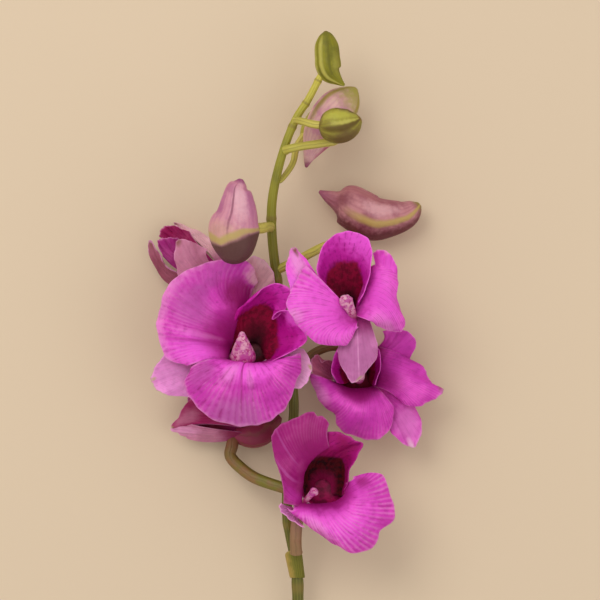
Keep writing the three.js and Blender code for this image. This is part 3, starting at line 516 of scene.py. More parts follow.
# How each blade is painted and shaped over the plain finish of its kind. Tone is its main colour. Mottle,
# vein, streak and pale are the strengths of its dark mottling, its veins, its light streaks and its pale
# margin, and ripple is the height of the waves in its rim. A patch is a soft spot of colour:
# its place across and out along the blade, its half sizes, its colour and its strength. Some patches are
# the blade's own colour, and those marked below are painted highlights and painted shade.
# A notch and a fold are a place across the blade, a half width, and a depth or a height.
# On a lip, lobe is the inner and the outer colour of its lobes, throat is the two colours mottled over
# its throat and the colour of the throat's floor, and throat_end is how far out the throat runs.
# Throat colours that are near black are painted shade deep in the throat over its own crimson.
LOOKS = {
    # Painted light on this petal: the hot pink patch is a painted highlight where it bulges towards the
    # light, the dusk patches are painted shade where it turns away, the maroon patches are its deep colour by
    # the throat and along its fold darkened with painted shade, and the thin plum and blush lines are painted
    # shade and a painted highlight along its fold.
    "bloom_left_petal_upper": {
        "mottle": 0.9,
        "streak": 0.14,
        "patches": [
            (0.12, 0.62, 0.24, 0.5, "hot_pink", 0.8),
            (0.5, 0.62, 0.2, 0.4, "dusk", 0.6),
            (0.72, 0.8, 0.12, 0.3, "dusk", 0.4),
            (0.9, 0.35, 0.22, 0.55, "maroon", 0.95),
            (0.32, 0.22, 0.34, 0.32, "maroon", 0.55),
            (0.97, 0.95, 0.1, 0.3, "shell", 0.8),
            (0.38, 1.0, 0.4, 0.14, "blush", 0.4),
            (0.25, 0.55, 0.02, 0.45, "plum", 0.45),
            (0.31, 0.5, 0.04, 0.4, "blush", 0.15),
        ],
        "folds": [(0.3, 0.06, 1.2), (0.17, 0.05, -0.5), (0.62, 0.07, -0.6)],
    },
    # The big hot pink patch is a painted highlight where this petal faces up to the light, the dusk patches
    # are painted shade, and the thin maroon line is painted shade in its crease.
    "bloom_left_petal_lower": {
        "mottle": 0.55,
        "vein": 0.75,
        "streak": 0.14,
        "patches": [
            (0.5, 0.35, 0.6, 0.3, "hot_pink", 0.95),
            (0.3, 0.45, 0.1, 0.3, "blush", 0.3),
            (0.5, 0.5, 0.05, 0.25, "blush", 0.25),
            (0.42, 0.3, 0.02, 0.5, "maroon", 0.6),
            (0.42, 0.94, 0.16, 0.28, "dusk", 0.85),
            (0.1, 0.75, 0.14, 0.3, "dusk", 0.55),
        ],
        "folds": [(0.42, 0.03, -0.7), (0.68, 0.05, 0.4)],
    },
    # The hot pink patch is a painted highlight along the lit top edge of the lower lobe.
    "bloom_left_lip": {"patches": [(0.7, 0.95, 0.06, 0.2, "hot_pink", 0.8)]},
    "bloom_right_lip": {
        "lobe": (0xC018A0, 0xEC44D4),
        "mottle": 0.2,
        "patches": [(0.6, 0.95, 0.24, 0.36, "hot_pink", 0.85)],
    },
    "bloom_left_lateral_sepal_upper": {"tone": "shell"},
    "bloom_left_dorsal_sepal": {"patches": [(0.44, 1.0, 0.05, 0.06, "tip_green", 0.9)]},
    "bloom_left_lateral_sepal_right": {
        "tone": "blush",
        "pale": 0.5,
        "patches": [(0.72, 1.0, 0.06, 0.08, "tip_green", 0.9), (0.3, 0.5, 0.3, 0.4, "sepal_pink", 0.6)],
    },
    "bloom_right_petal_left": {
        "vein": 0.6,
        "streak": 0.22,
        "patches": [
            (0.36, 0.9, 0.08, 0.2, "white_pink", 0.55),
            (0.2, 0.9, 0.14, 0.3, "hot_pink", 0.7),
            (0.5, 0.6, 0.9, 0.7, "hot_pink", 0.7),
        ],
        "notches": [(0.36, 0.03, 0.05)],
    },
    "bloom_right_petal_right": {
        "vein": 0.5,
        "streak": 0.2,
        "patches": [
            (0.15, 0.7, 0.2, 0.5, "blush", 0.3),
            (0.5, 0.5, 0.8, 0.6, "hot_pink", 0.6),
            (0.2, 0.95, 0.2, 0.25, "mauve", 0.5),
        ],
    },
    "bloom_right_dorsal_sepal": {
        "pale": 0.7,
        "tone": "mauve",
        "patches": [
            (0.5, 0.6, 0.02, 0.5, "blush", 0.5),
            (0.5, 1.0, 0.07, 0.06, "tip_green", 0.8),
            (0.5, 0.1, 0.6, 0.3, "plum", 0.4),
        ],
    },
    "bloom_right_lateral_sepal_left": {
        "tone": "hot_pink",
        "patches": [
            (0.4, 0.75, 0.3, 0.35, "blush", 0.6),
            (0.333, 1.0, 0.09, 0.12, "tip_brown", 1.0),
        ],
    },
    "bloom_right_lateral_sepal_right": {
        "tone": "magenta",
        "patches": [(0.35, 1.0, 0.06, 0.08, "tip_green", 0.5), (0.5, 0.8, 0.4, 0.4, "hot_pink", 0.6)],
    },
    "bloom_rear_petal_lower": {
        "mottle": 0.5,
        "patches": [(0.5, 0.2, 0.6, 0.3, "maroon", 0.6), (0.15, 0.9, 0.15, 0.3, "blush", 0.4)],
    },
    "bloom_rear_petal_right": {
        "patches": [(0.2, 0.3, 0.4, 0.4, "maroon", 0.6), (0.5, 1.0, 0.05, 0.08, "tip_brown", 0.6)],
    },
    "bloom_rear_dorsal_sepal": {
        "tone": "magenta",
        "patches": [(0.36, 1.0, 0.08, 0.12, "white_pink", 0.8), (0.5, 0.8, 0.5, 0.3, "sepal_pink", 0.5)],
    },
    "bloom_rear_lateral_sepal_left": {"tone": "rose", "patches": [(0.5, 0.3, 0.6, 0.5, "maroon", 0.5)]},
    "bloom_rear_lateral_sepal_upper": {"tone": "magenta"},
    # Its plum tone is the petal's deep colour darkened with painted shade, the thin dusk lines are painted
    # highlights along the ridges of its folds, and the maroon patch by the throat is its deep colour darkened
    # with painted shade.
    "bloom_low_petal_upper": {
        "tone": "plum",
        "mottle": 0.4,
        "streak": 0.05,
        "pale": 0.15,
        "patches": [
            (0.3, 0.7, 0.03, 0.6, "dusk", 0.45),
            (0.52, 0.7, 0.015, 0.5, "dusk", 0.45),
            (0.1, 0.5, 0.12, 0.6, "magenta", 0.5),
            (0.8, 0.5, 0.3, 0.5, "maroon", 0.6),
        ],
        "notches": [(0.86, 0.04, 0.06)],
        "folds": [(0.52, 0.03, 0.5), (0.3, 0.05, 0.5)],
        "ripple": 0.9,
    },
    "bloom_low_petal_lower": {
        "vein": 0.6,
        "streak": 0.3,
        "patches": [
            (0.35, 0.5, 0.5, 0.4, "hot_pink", 0.7),
            (0.88, 0.62, 0.1, 0.25, "plum", 0.7),
            (0.2, 0.7, 0.14, 0.4, "blush", 0.3),
        ],
        "notches": [(0.1, 0.025, 0.06), (0.52, 0.03, 0.07)],
    },
    # Its throat's two dark colours are painted shade in the dark upper part of the throat; the throat's floor
    # keeps its own magenta.
    "bloom_low_lip": {
        "lobe": (0x8E0056, 0xAC0C80),
        "throat": (0x4A000C, 0x1A0003, 0x7E0440),
        "pale": 0.1,
    },
    "bloom_low_dorsal_sepal": {"pale": 0.6},
    "half_open_low_dorsal_sepal": {
        "tone": "crimson",
        "patches": [
            (0.75, 1.0, 0.06, 0.06, "tip_green", 0.8),
            (0.6, 0.8, 0.3, 0.25, "dusty", 0.6),
            (0.5, 0.2, 0.6, 0.4, "wine", 0.7),
        ],
    },
    "half_open_low_lateral_sepal_front": {
        "tone": "dusty",
        "pale": 0.6,
        "patches": [(0.3, 0.1, 0.7, 0.3, "wine", 0.8), (0.4, 0.85, 0.4, 0.3, "blush", 0.4)],
    },
    "half_open_low_lateral_sepal_rear": {"tone": "rose", "patches": [(0.5, 0.3, 0.6, 0.5, "wine", 0.7)]},
    "half_open_low_petal_upper": {"tone": "plum"},
    "half_open_low_petal_lower": {"tone": "wine"},
    "half_open_high_sepal_left": {"tone": "russet", "patches": [(0.5, 1.0, 0.1, 0.1, "tip_brown", 0.9)]},
    "half_open_high_sepal_front": {"tone": "dusty", "patches": [(0.5, 1.0, 0.1, 0.12, "tip_brown", 0.9)]},
    "half_open_high_sepal_rear": {"tone": "shell", "patches": [(0.33, 1.0, 0.1, 0.1, "tip_brown", 0.9)]},
    "half_open_high_petal_left": {"tone": "plum"},
    "half_open_high_petal_right": {"tone": "crimson"},
}

# How each bud is painted, and its seams: a place round it and where the seam fades in along it.
BUD_LOOKS = {
    "bud_left": {
        "base": 0xCC8CA2, "second": 0xB47090, "ridge": 0xB4A05C, "cup": 0x50302A,
        "seams": [(0.55, 0.3, 0.6), (0.97, 0.3, 0.6)],
        "collar": (0.35, 0.7, 0.34),
        "patches": [
            (0.3, 0.06, 0.6, 0.1, 0x8A3A70, 0.85),
            (0.35, 0.66, 0.2, 0.1, 0xD0AE86, 0.4),
            (0.1, 0.4, 0.1, 0.3, 0xB4689A, 0.6),
            (0.42, 0.42, 0.06, 0.2, 0xA85890, 0.6),
            (0.22, 0.35, 0.1, 0.3, 0xE2B2C2, 0.7),
            (0.29, 0.4, 0.014, 0.4, 0x7A3A5A, 0.75),
        ],
    },
    "bud_right": {
        "base": 0xBC8088, "second": 0x985868, "ridge": 0xB8A058,
        "seams": [(0.29, 0.3, 0.55)],
        "patches": [
            (0.43, 0.6, 0.14, 0.5, 0x60202E, 0.95),
            (0.3, 0.02, 0.7, 0.14, 0x8E4468, 0.8),
            (0.22, 0.3, 0.1, 0.12, 0x7E3C4C, 0.8),
            (0.1, 0.45, 0.08, 0.3, 0xA05A66, 0.6),
            (0.25, 1.0, 0.8, 0.12, 0x86782E, 0.85),
            (0.18, 0.6, 0.08, 0.2, 0xDCAAB2, 0.7),
        ],
    },
    "bud_rear": {
        "base": 0xDDB2B0, "second": 0xC486A0, "ridge": 0x9A8A34,
        "seams": [(0.1, 0.3, 0.6), (0.42, 0.3, 0.6)],
        "patches": [
            (0.3, 0.02, 0.7, 0.12, 0x7E2C54, 0.85),
            (0.46, 0.35, 0.08, 0.3, 0xA02058, 0.8),
            (0.3, 0.98, 0.8, 0.25, 0x96902C, 0.9),
            (0.5, 0.8, 0.6, 0.2, 0xA09A3C, 0.7),
        ],
    },
    # The two light yellow green patches beside the seam are painted highlights on the bulge above it.
    "bud_front": {
        "base": 0x8E8630, "second": 0x6A5626, "ridge": 0x5E4A1C,
        "seams": [(0.28, 0.05, 0.3)],
        "patches": [
            (0.14, 0.5, 0.09, 0.5, 0xB6B448, 0.8),
            (0.23, 0.6, 0.03, 0.4, 0xC6C060, 0.7),
            (0.4, 0.5, 0.1, 0.4, 0x66502A, 0.8),
            (0.25, 0.98, 0.7, 0.1, 0x7C5A26, 0.8),
        ],
    },
    "bud_hidden": {
        "base": 0xA8A03C, "second": 0x968A38, "ridge": 0xC6C258,
        "seams": [(0.3, 0.05, 0.3)],
        "patches": [],
    },
    "bud_tip": {
        "base": 0x86821A, "second": 0x6C6A1A, "ridge": 0xB4AC50,
        "seams": [(0.34, 0.1, 0.3), (0.62, 0.1, 0.3)],
        "patches": [
            (0.3, 0.0, 0.8, 0.05, 0x7E5630, 0.85),
            (0.46, 0.5, 0.05, 0.4, 0xC4BA64, 0.6),
            (0.14, 0.6, 0.08, 0.3, 0xA6A040, 0.6),
            (0.24, 0.5, 0.03, 0.4, 0x5C5A14, 0.6),
        ],
    },
}

# The stalk's colour at the stem, its colour at the flower, and how much brown it is flushed with
PLAIN_STALK = (0xB4AC48, 0xC4B858, 0.1)
STALK_TINTS = {
    "bloom_left": (0x8A7A3A, 0xA06A70, 0.4),
    "bloom_right": (0xA0903C, 0xA87A70, 0.3),
    "bloom_rear": (0x7A5A2E, 0x8E6048, 0.5),
    "bloom_low": (0x8C6A48, 0x9A6E5E, 0.6),
    "half_open_low": (0x76701C, 0x78462E, 0.6),
    "half_open_high": (0xA0903C, 0x9A6A58, 0.3),
}
SPUR_TINTS = (0x8E1848, 0x7A0C34, 0.3)
CHIN_TINTS = (0xC47AB0, 0xD08CC0, 0.1)

# Where the joints of the stem are, as parts of its length
STEM_JOINTS = [0.09, 0.18, 0.24, 0.316, 0.44, 0.5, 0.59, 0.735, 0.8, 0.868]

# The sheathing bract wraps the stem below the lowest bloom: its ends, its radii, its half angle in radians,
# how far the middle of its rim reaches on along the stem, and its fine ribs.
BRACT = {
    "bottom": (-0.9, -98, 10), "top": (-2.3, -89.6, 11.4),
    "inner": 2.4, "outer": 2.8, "half_angle": 2.1, "tongue": 1.6,
    "ribs": 12, "rib_height": 0.08,
}

# Rings and sides of the plain model's stem, whose lowest corner places the finished pieces
STEM_RINGS = 28
STEM_SIDES = 8
SMALLEST_RADIUS = 0.2
FLATTENED_BUD = 0.94
COLUMN_FLATTENING = 0.7
RAGGED_RIM = 0.012
RIB_HEIGHT = 0.09
GROOVE_DEPTH = 0.07
CHIN_WALL = 0.0005

# Steps across and out along each kind of blade, and its ribs
PETAL_GRID = (56, 28, 13)
SEPAL_GRID = (36, 24, 7)
LIP_GRID = (64, 30, 17)

# Each lamp: its place from the middle of the spray, its width and its power
LAMPS = {
    "key_lamp": ((-0.45, 0.55, 0.95), 0.7, 5.0),
    "fill_lamp": ((0.7, -0.3, 0.9), 0.9, 1.6),
}
WORLD_LIGHT = 0.72
FLOOR_WIDTH = 8

# The colour of the floor of each open bloom's throat
THROATS = {
    "bloom_left": 0x4C0018,
    "bloom_right": 0x6A0026,
    "bloom_rear": 0x6A0026,
    "bloom_low": 0x9A0450,
}


def along(row, place):
    """Points on the smooth curve through a row, at places from 0 to 1 that are even from point to point."""
    row = np.array(row, float)
    spans = len(row) - 1
    padded = np.vstack([2 * row[0] - row[1], row, 2 * row[-1] - row[-2]])
    position = np.clip(place, 0, 1) * spans
    index = np.minimum(position.astype(int), spans - 1)
    part = (position - index)[:, None]
    before, start, end, after = (padded[index + step] for step in range(4))
    leaving = (end - before) / 2
    arriving = (after - start) / 2
    rise = end - start
    bend = 3 * rise - 2 * leaving - arriving
    return start + part * (leaving + part * (bend + part * (leaving + arriving - 2 * rise)))


def unit(vectors):
    """The same directions, each of length 1."""
    return vectors / np.maximum(np.linalg.norm(vectors, axis=1), 1e-9)[:, None]


def bump(place, centre, width):
    """A soft hump of height 1 at the centre."""
    return np.exp(-(((place - centre) / width) ** 2))


def loft_points(stations, place, turn, flatten=1.0, swell=0.0):
    """Points round a lofted body: place runs along it and turn runs once round it, both from 0 to 1."""
    stations = np.array(stations, float)
    centre = along(stations[:, :3], place)
    ahead = unit(along(stations[:, :3], place + 1e-3) - along(stations[:, :3], place - 1e-3))
    across = unit(np.column_stack([-ahead[:, 1], ahead[:, 0], np.zeros(len(ahead))]))
    upward = np.cross(ahead, across)
    radius = (np.maximum(along(stations[:, 3:], place)[:, 0], SMALLEST_RADIUS) + swell)[:, None]
    angle = (2 * np.pi * turn)[:, None]
    return centre + radius * (across * np.cos(angle) + upward * flatten * np.sin(angle))


def spray_offset():
    """From the origin of the sizes above to the model's own origin, in millimetres."""
    ring, turn = np.meshgrid(np.arange(STEM_RINGS + 1) / STEM_RINGS, np.arange(STEM_SIDES) / STEM_SIDES)
    points = loft_points(STEM, ring.ravel(), turn.ravel())
    return np.array(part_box("stem")[0]) / MM - points.min(axis=0)


OFFSET = spray_offset()


def grid_piece(name, columns, rows, shape):
    """A grid primitive bent to shape(side, out), both from 0 to 1, which gives points in millimetres."""
    bpy.ops.object.select_all(action="DESELECT")
    bpy.ops.mesh.primitive_grid_add(x_subdivisions=columns, y_subdivisions=rows, size=1)
    piece = bpy.context.object
    piece.name = name
    piece.data.name = name
    flat = np.array([vertex.co for vertex in piece.data.vertices])
    points = (shape(flat[:, 0] + 0.5, flat[:, 1] + 0.5) + OFFSET) * MM
    piece.data.vertices.foreach_set("co", points.ravel())
    piece.data.update()
    return piece


def apply_modifier(piece, kind, **settings):
    """Adds a modifier of a kind to the piece, which is the active one, and applies it."""
    modifier = piece.modifiers.new(kind.title(), kind)
    for setting, value in settings.items():
        setattr(modifier, setting, value)
    bpy.ops.object.modifier_apply(modifier=modifier.name)


def blade_points(blade, side, out):
    """A parabola from claw to rim at each place across a blade."""
    claw, middle, rim = (along(blade[row], side) for row in ("claw", "middle", "rim"))
    out = out[:, None]
    return claw * (1 - out) * (1 - 2 * out) + middle * 4 * out * (1 - out) + rim * out * (2 * out - 1)


def blade_piece(name, heart, blade, look, thickness, grid, ripple):
    """A petal, sepal or lip: a thin sheet with a rippled rim and ribs that fan out from its claw."""
    columns, rows, ribs = grid
    draw = random.Random(name)
    phase = draw.uniform(0, 2 * math.pi)
    waves = draw.choice([3, 4])

    def shape(side, out):
        reach = out.copy()
        for centre, width, depth in look.get("notches", []):
            reach -= depth * bump(side, centre, width) * out**3
        ragged = RAGGED_RIM * np.sin(2 * np.pi * 9 * side + phase) * np.sin(2 * np.pi * 4 * side + 2 * phase)
        reach += ragged * out**4
        points = blade_points(blade, side, reach)
        step = 2e-3
        outward = blade_points(blade, side, reach + step) - blade_points(blade, side, reach - step)
        sideways = blade_points(blade, side + step, reach) - blade_points(blade, side - step, reach)
        normal = unit(np.cross(outward, sideways))
        if normal[:, 2].mean() < 0:
            normal = -normal
        free = np.clip(out, 0, 1)
        height = look.get("ripple", ripple) * free**3 * np.sin(2 * np.pi * waves * side + phase)
        height += ripple * 0.3 * free**4 * np.sin(2 * np.pi * (2 * waves + 1) * side + 2 * phase)
        height += RIB_HEIGHT * np.sin(2 * np.pi * ribs * side) * np.sin(np.pi * np.clip(free, 0.1, 0.9))
        for centre, width, rise in look.get("folds", []):
            height += rise * bump(side, centre, width) * np.sin(np.pi * np.clip(0.85 * free + 0.1, 0, 1))
        return np.array(heart) + points + normal * height[:, None]

    piece = grid_piece(name, columns, rows, shape)
    apply_modifier(piece, "SOLIDIFY", thickness=thickness, offset=0)
    apply_modifier(piece, "SUBSURF", levels=1, render_levels=1)
    bpy.ops.object.shade_smooth()
    return piece


def loft_piece(name, stations, sides, rings, flatten=1.0, swell=None):
    """A closed round body along stations, with rounded ends. swell(turn, place) adds to its radius."""
    def shape(turn, out):
        place = np.clip((out * (rings + 2) - 1) / rings, 0, 1)
        points = loft_points(stations, place, turn, flatten, swell(turn, place) if swell else 0.0)
        for end, here in ((0, out < 0.5 / (rings + 2)), (-1, out > 1 - 0.5 / (rings + 2))):
            points[here] = np.array(stations[end][:3], float)
        return points

    piece = grid_piece(name, sides, rings + 2, shape)
    bpy.ops.object.mode_set(mode="EDIT")
    bpy.ops.mesh.select_all(action="SELECT")
    bpy.ops.mesh.remove_doubles(threshold=1e-6)
    bpy.ops.mesh.normals_make_consistent(inside=False)
    bpy.ops.object.mode_set(mode="OBJECT")
    apply_modifier(piece, "SUBSURF", levels=1, render_levels=1)
    bpy.ops.object.shade_smooth()
    return piece


def hand_over(piece, node, finish):
    """The finished piece stands for its node of the plain model."""
    piece.data.materials.clear()
    piece.data.materials.append(finish)
    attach(piece, "root")
    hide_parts(node)


def colour(code):
    """A linear colour from a hexadecimal screen colour."""
    parts = [((code >> shift) & 255) / 255 for shift in (16, 8, 0)]
    return [part / 12.92 if part <= 0.04045 else ((part + 0.055) / 1.055) ** 2.4 for part in parts]


class Value:
    """A socket in a finish, which Python's arithmetic adds Math nodes to."""

    def __init__(self, finish, socket):
        self.finish = finish
        self.socket = socket

    def __add__(self, other):
        return self.finish.maths("ADD", self, other)

    __radd__ = __add__

    def __sub__(self, other):
        return self.finish.maths("SUBTRACT", self, other)

    def __rsub__(self, other):
        return self.finish.maths("SUBTRACT", other, self)

    def __mul__(self, other):
        return self.finish.maths("MULTIPLY", self, other)

    __rmul__ = __mul__

    def __truediv__(self, other):
        return self.finish.maths("DIVIDE", self, other)


class Finish:
    """A material made of procedural nodes."""

    def __init__(self, name):
        self.material = bpy.data.materials.new(name)
        self.material.use_nodes = True
        self.tree = self.material.node_tree
        self.tree.nodes.clear()

    def node(self, kind, settings, sockets, output=0):
        """Adds a node of any kind: its settings first, then a value or a link for each socket."""
        node = self.tree.nodes.new(kind)
        for setting, value in settings.items():
            setattr(node, setting, value)
        for key, value in sockets.items():
            if isinstance(value, Value):
                self.tree.links.new(value.socket, node.inputs[key])
            else:
                node.inputs[key].default_value = value
        return Value(self, node.outputs[output]) if node.outputs else None

    def maths(self, operation, *operands):
        """A Math node."""
        return self.node("ShaderNodeMath", {"operation": operation}, dict(enumerate(operands)))

    def mix(self, first, second, share):
        """A colour: the first where share is 0 and the second where it is 1."""
        first, second = (tint if isinstance(tint, Value) else (*tint, 1) for tint in (first, second))
        return self.node("ShaderNodeMix", {"data_type": "RGBA"}, {0: share, 6: first, 7: second}, 2)

    def rise(self, value, low, high):
        """A smooth step from 0 at low to 1 at high, or down if low is the larger."""
        return self.node(
            "ShaderNodeMapRange", {"interpolation_type": "SMOOTHSTEP"}, {0: value, 1: low, 2: high}
        )

    def noise(self, scale, detail=3):
        """Noise with about as many patches to the metre as its scale."""
        place = self.node("ShaderNodeTexCoord", {}, {}, "Object")
        return self.node("ShaderNodeTexNoise", {}, {"Vector": place, "Scale": scale, "Detail": detail})

    def surface(self):
        """The two coordinates of the piece's own map: across or round it, and out along it."""
        chart = self.node("ShaderNodeUVMap", {"uv_map": "UVMap"}, {})
        return [self.node("ShaderNodeSeparateXYZ", {}, {0: chart}, axis) for axis in (0, 1)]

    def spot(self, side, out, centre, size, waver):
        """A soft spot with an uneven edge."""
        wide = (side - centre[0]) / size[0]
        tall = (out - centre[1]) / size[1]
        distance = self.maths("SQRT", wide * wide + tall * tall) + (waver - 0.5) * 0.7
        return self.rise(distance, 1.1, 0.25)

    def stripes(self, side, count, width, waver):
        """Thin lines along the piece, 1 on each line."""
        wave = self.maths("FRACT", side * count + (waver - 0.5) * 0.9)
        return self.rise(self.maths("ABSOLUTE", wave - 0.5), width, 0.0)

    def shade(self, tint, roughness, height, relief, **settings):
        """Ends the finish with its shader. Relief is the bump's height in metres."""
        bump_node = self.node(
            "ShaderNodeBump", {}, {"Strength": 1.0, "Distance": relief, "Height": height}
        )
        sockets = {"Base Color": tint, "Roughness": roughness, "Normal": bump_node}
        shader = self.node("ShaderNodeBsdfPrincipled", {}, sockets | settings)
        self.node("ShaderNodeOutputMaterial", {}, {"Surface": shader})
        return self.material


# Tissue colours. Hot pink, dusk, maroon, plum and blush also serve as painted highlights and painted shade in
# some blades' patches, as marked in LOOKS.
TINTS = {
    "magenta": 0xD036B8,
    "hot_pink": 0xF25CE2,
    "dusk": 0xB455A4,
    "maroon": 0x8E0062,
    "wine": 0x7A0434,
    "plum": 0x9C0C74,
    "blush": 0xEFA6DE,
    "white_pink": 0xF4D6E6,
    "mauve": 0xB868A4,
    "russet": 0x94485E,
    "crimson": 0xA0105C,
    "dusty": 0xC47A9C,
    "shell": 0xE4B0BC,
    "rose": 0xC8668E,
    "sepal_pink": 0xDC84CC,
    "tip_green": 0xA8A850,
    "tip_brown": 0x7E4A34,
}


def blade_finish(name, look, tone, deep, pale, vein, mottle):
    """Petal tissue: mottled magenta with veins that fan out, a deep claw and a pale thin margin."""
    paint = Finish(name)
    side, out = paint.surface()
    broad = paint.noise(110, 4)
    fine = paint.noise(480, 4)
    grain = paint.noise(2600, 2)
    base = colour(TINTS[look.get("tone", tone)])
    light = [min(1.0, part * 1.35 + 0.05) for part in base]
    dark = [part * 0.55 for part in base]
    tint = paint.mix(base, light, paint.rise(broad, 0.48, 0.7) * 0.65)
    tint = paint.mix(tint, dark, paint.rise(broad, 0.46, 0.3) * look.get("mottle", mottle) * 0.6)
    tint = paint.mix(tint, dark, paint.rise(fine, 0.5, 0.7) * look.get("mottle", mottle) * 0.5)
    claw = paint.rise(out + (broad - 0.5) * 0.2, 0.42, 0.0)
    tint = paint.mix(tint, colour(TINTS[deep]), claw * 0.85)
    # Patches of the blade's own colour, and on some blades painted highlights and painted shade.
    for across, lengthwise, half_across, half_along, patch, strength in look.get("patches", []):
        spot = paint.spot(side, out, (across, lengthwise), (half_across, half_along), fine)
        tint = paint.mix(tint, colour(TINTS[patch]), spot * strength)
    main = paint.stripes(side, 13, 0.16, broad) * paint.rise(out, 0.1, 0.4)
    small = paint.stripes(side, 41, 0.3, fine) * paint.rise(out, 0.3, 0.65)
    veins = (main * 0.7 + small * 0.55) * look.get("vein", vein) * paint.rise(fine, 0.3, 0.6)
    tint = paint.mix(tint, colour(TINTS["maroon"]), veins * 0.6)
    streaks = paint.stripes(side, 37, 0.4, broad) * paint.rise(out, 0.2, 0.7) * paint.rise(broad, 0.35, 0.6)
    tint = paint.mix(tint, colour(TINTS["blush"]), streaks * look.get("streak", 0.12))
    inset = paint.maths("MINIMUM", paint.maths("MINIMUM", side, 1 - side) * 1.4, 1 - out)
    margin = paint.rise(inset + (fine - 0.5) * 0.05, 0.035, 0.0)
    tint = paint.mix(tint, colour(TINTS["blush"]), margin * look.get("pale", pale))
    roughness = 0.5 + grain * 0.16
    height = grain * 0.25 + veins * -0.8 + fine * 0.5
    return paint.shade(
        tint, roughness, height, 0.00022,
        **{"Subsurface Weight": 0.12, "Subsurface Radius": (0.0016, 0.0005, 0.0011),
           "Specular IOR Level": 0.25},
    )


def lip_finish(name, look):
    """The lip: velvety magenta lobes round a crimson throat, with painted shade that makes it nearly black at
    its floor.
    """
    paint = Finish(name)
    side, out = paint.surface()
    broad = paint.noise(160, 4)
    fine = paint.noise(600, 4)
    grain = paint.noise(2600, 2)
    inner, outer = look.get("lobe", (0xB4048C, 0xDC30C0))
    flesh, mottling, floor = look.get("throat", (0x8C0036, 0x6A0026, 0x26000A))
    end = look.get("throat_end", 0.6)
    lobe = paint.mix(colour(inner), colour(outer), paint.rise(out + (broad - 0.5) * 0.6, 0.75, 1.1))
    lobe = paint.mix(lobe, colour(0x7E0060), paint.rise(fine, 0.48, 0.72) * look.get("mottle", 0.4))
    # Patches of the lip's own colour, and on some lips a painted highlight.
    for across, lengthwise, half_across, half_along, patch, strength in look.get("patches", []):
        spot = paint.spot(side, out, (across, lengthwise), (half_across, half_along), fine)
        lobe = paint.mix(lobe, colour(TINTS[patch]), spot * strength)
    # The throat is crimson mottled with a darker colour; its near-black colours are painted shade deep in the
    # throat.
    depth = out + (broad - 0.5) * 0.2 + (fine - 0.5) * 0.12
    throat = paint.mix(colour(flesh), colour(mottling), paint.rise(fine, 0.4, 0.66))
    throat = paint.mix(throat, colour(floor), paint.rise(depth, end - 0.3, end - 0.62))
    tint = paint.mix(lobe, throat, paint.rise(depth, end, end - 0.12))
    veins = paint.stripes(side, 23, 0.14, broad) * paint.rise(out, 0.2, 0.6) * paint.rise(fine, 0.4, 0.6)
    tint = paint.mix(tint, colour(0x7A0050), veins * 0.22)
    margin = paint.rise(1 - out + (fine - 0.5) * 0.05, 0.03, 0.0)
    tint = paint.mix(tint, colour(0xF07CE0), margin * look.get("pale", 0.45))
    height = grain * 0.3 + veins * -0.6 + fine * 0.5
    return paint.shade(
        tint, 0.5 + grain * 0.16, height, 0.00025,
        **{"Subsurface Weight": 0.06, "Subsurface Radius": (0.0012, 0.0003, 0.0008),
           "Specular IOR Level": 0.22},
    )


def throat_finish(name, code):
    """The inside of the chin, in its own colour and a darker one."""
    paint = Finish(name)
    broad = paint.noise(300, 3)
    fine = paint.noise(1500, 3)
    base = colour(code)
    tint = paint.mix(base, [part * 0.4 for part in base], paint.rise(broad, 0.4, 0.65))
    return paint.shade(tint, 0.5 + fine * 0.1, broad + fine * 0.4, 0.0003, **{"Specular IOR Level": 0.2})


def column_finish(name):
    """The column: pale cream pink with magenta freckles and a waxy surface."""
    paint = Finish(name)
    _, out = paint.surface()
    broad = paint.noise(500, 3)
    freckle = paint.rise(paint.noise(900, 2), 0.56, 0.62)
    tint = paint.mix(colour(0xD89CB8), colour(0xB84898), paint.rise(broad, 0.4, 0.6))
    tint = paint.mix(tint, colour(0xA80C72), freckle * 0.9)
    tint = paint.mix(tint, colour(0x98085C), paint.rise(out, 0.45, 0.0))
    return paint.shade(
        tint, 0.38 + broad * 0.1, broad, 0.0002,
        **{"Subsurface Weight": 0.2, "Subsurface Radius": (0.0015, 0.0006, 0.0007)},
    )


def stalk_finish(name, root_tint, end_tint, flush):
    """Stalk tissue that turns from the stem's colour to the flower's, with fine grooves."""
    paint = Finish(name)
    side, out = paint.surface()
    broad = paint.noise(200, 3)
    fine = paint.noise(1200, 3)
    tint = paint.mix(colour(root_tint), colour(end_tint), paint.rise(out + (broad - 0.5) * 0.3, 0.15, 0.95))
    tint = paint.mix(tint, colour(0x8C5A3C), paint.rise(broad, 0.5, 0.7) * flush)
    grooves = paint.stripes(side, 6, 0.2, broad)
    tint = paint.mix(tint, colour(0x5C4A1C), grooves * 0.25)
    return paint.shade(
        tint, 0.42 + fine * 0.15, grooves * -0.6 + fine * 0.4, 0.00018,
        **{"Subsurface Weight": 0.08, "Subsurface Radius": (0.0008, 0.0008, 0.0003)},
    )


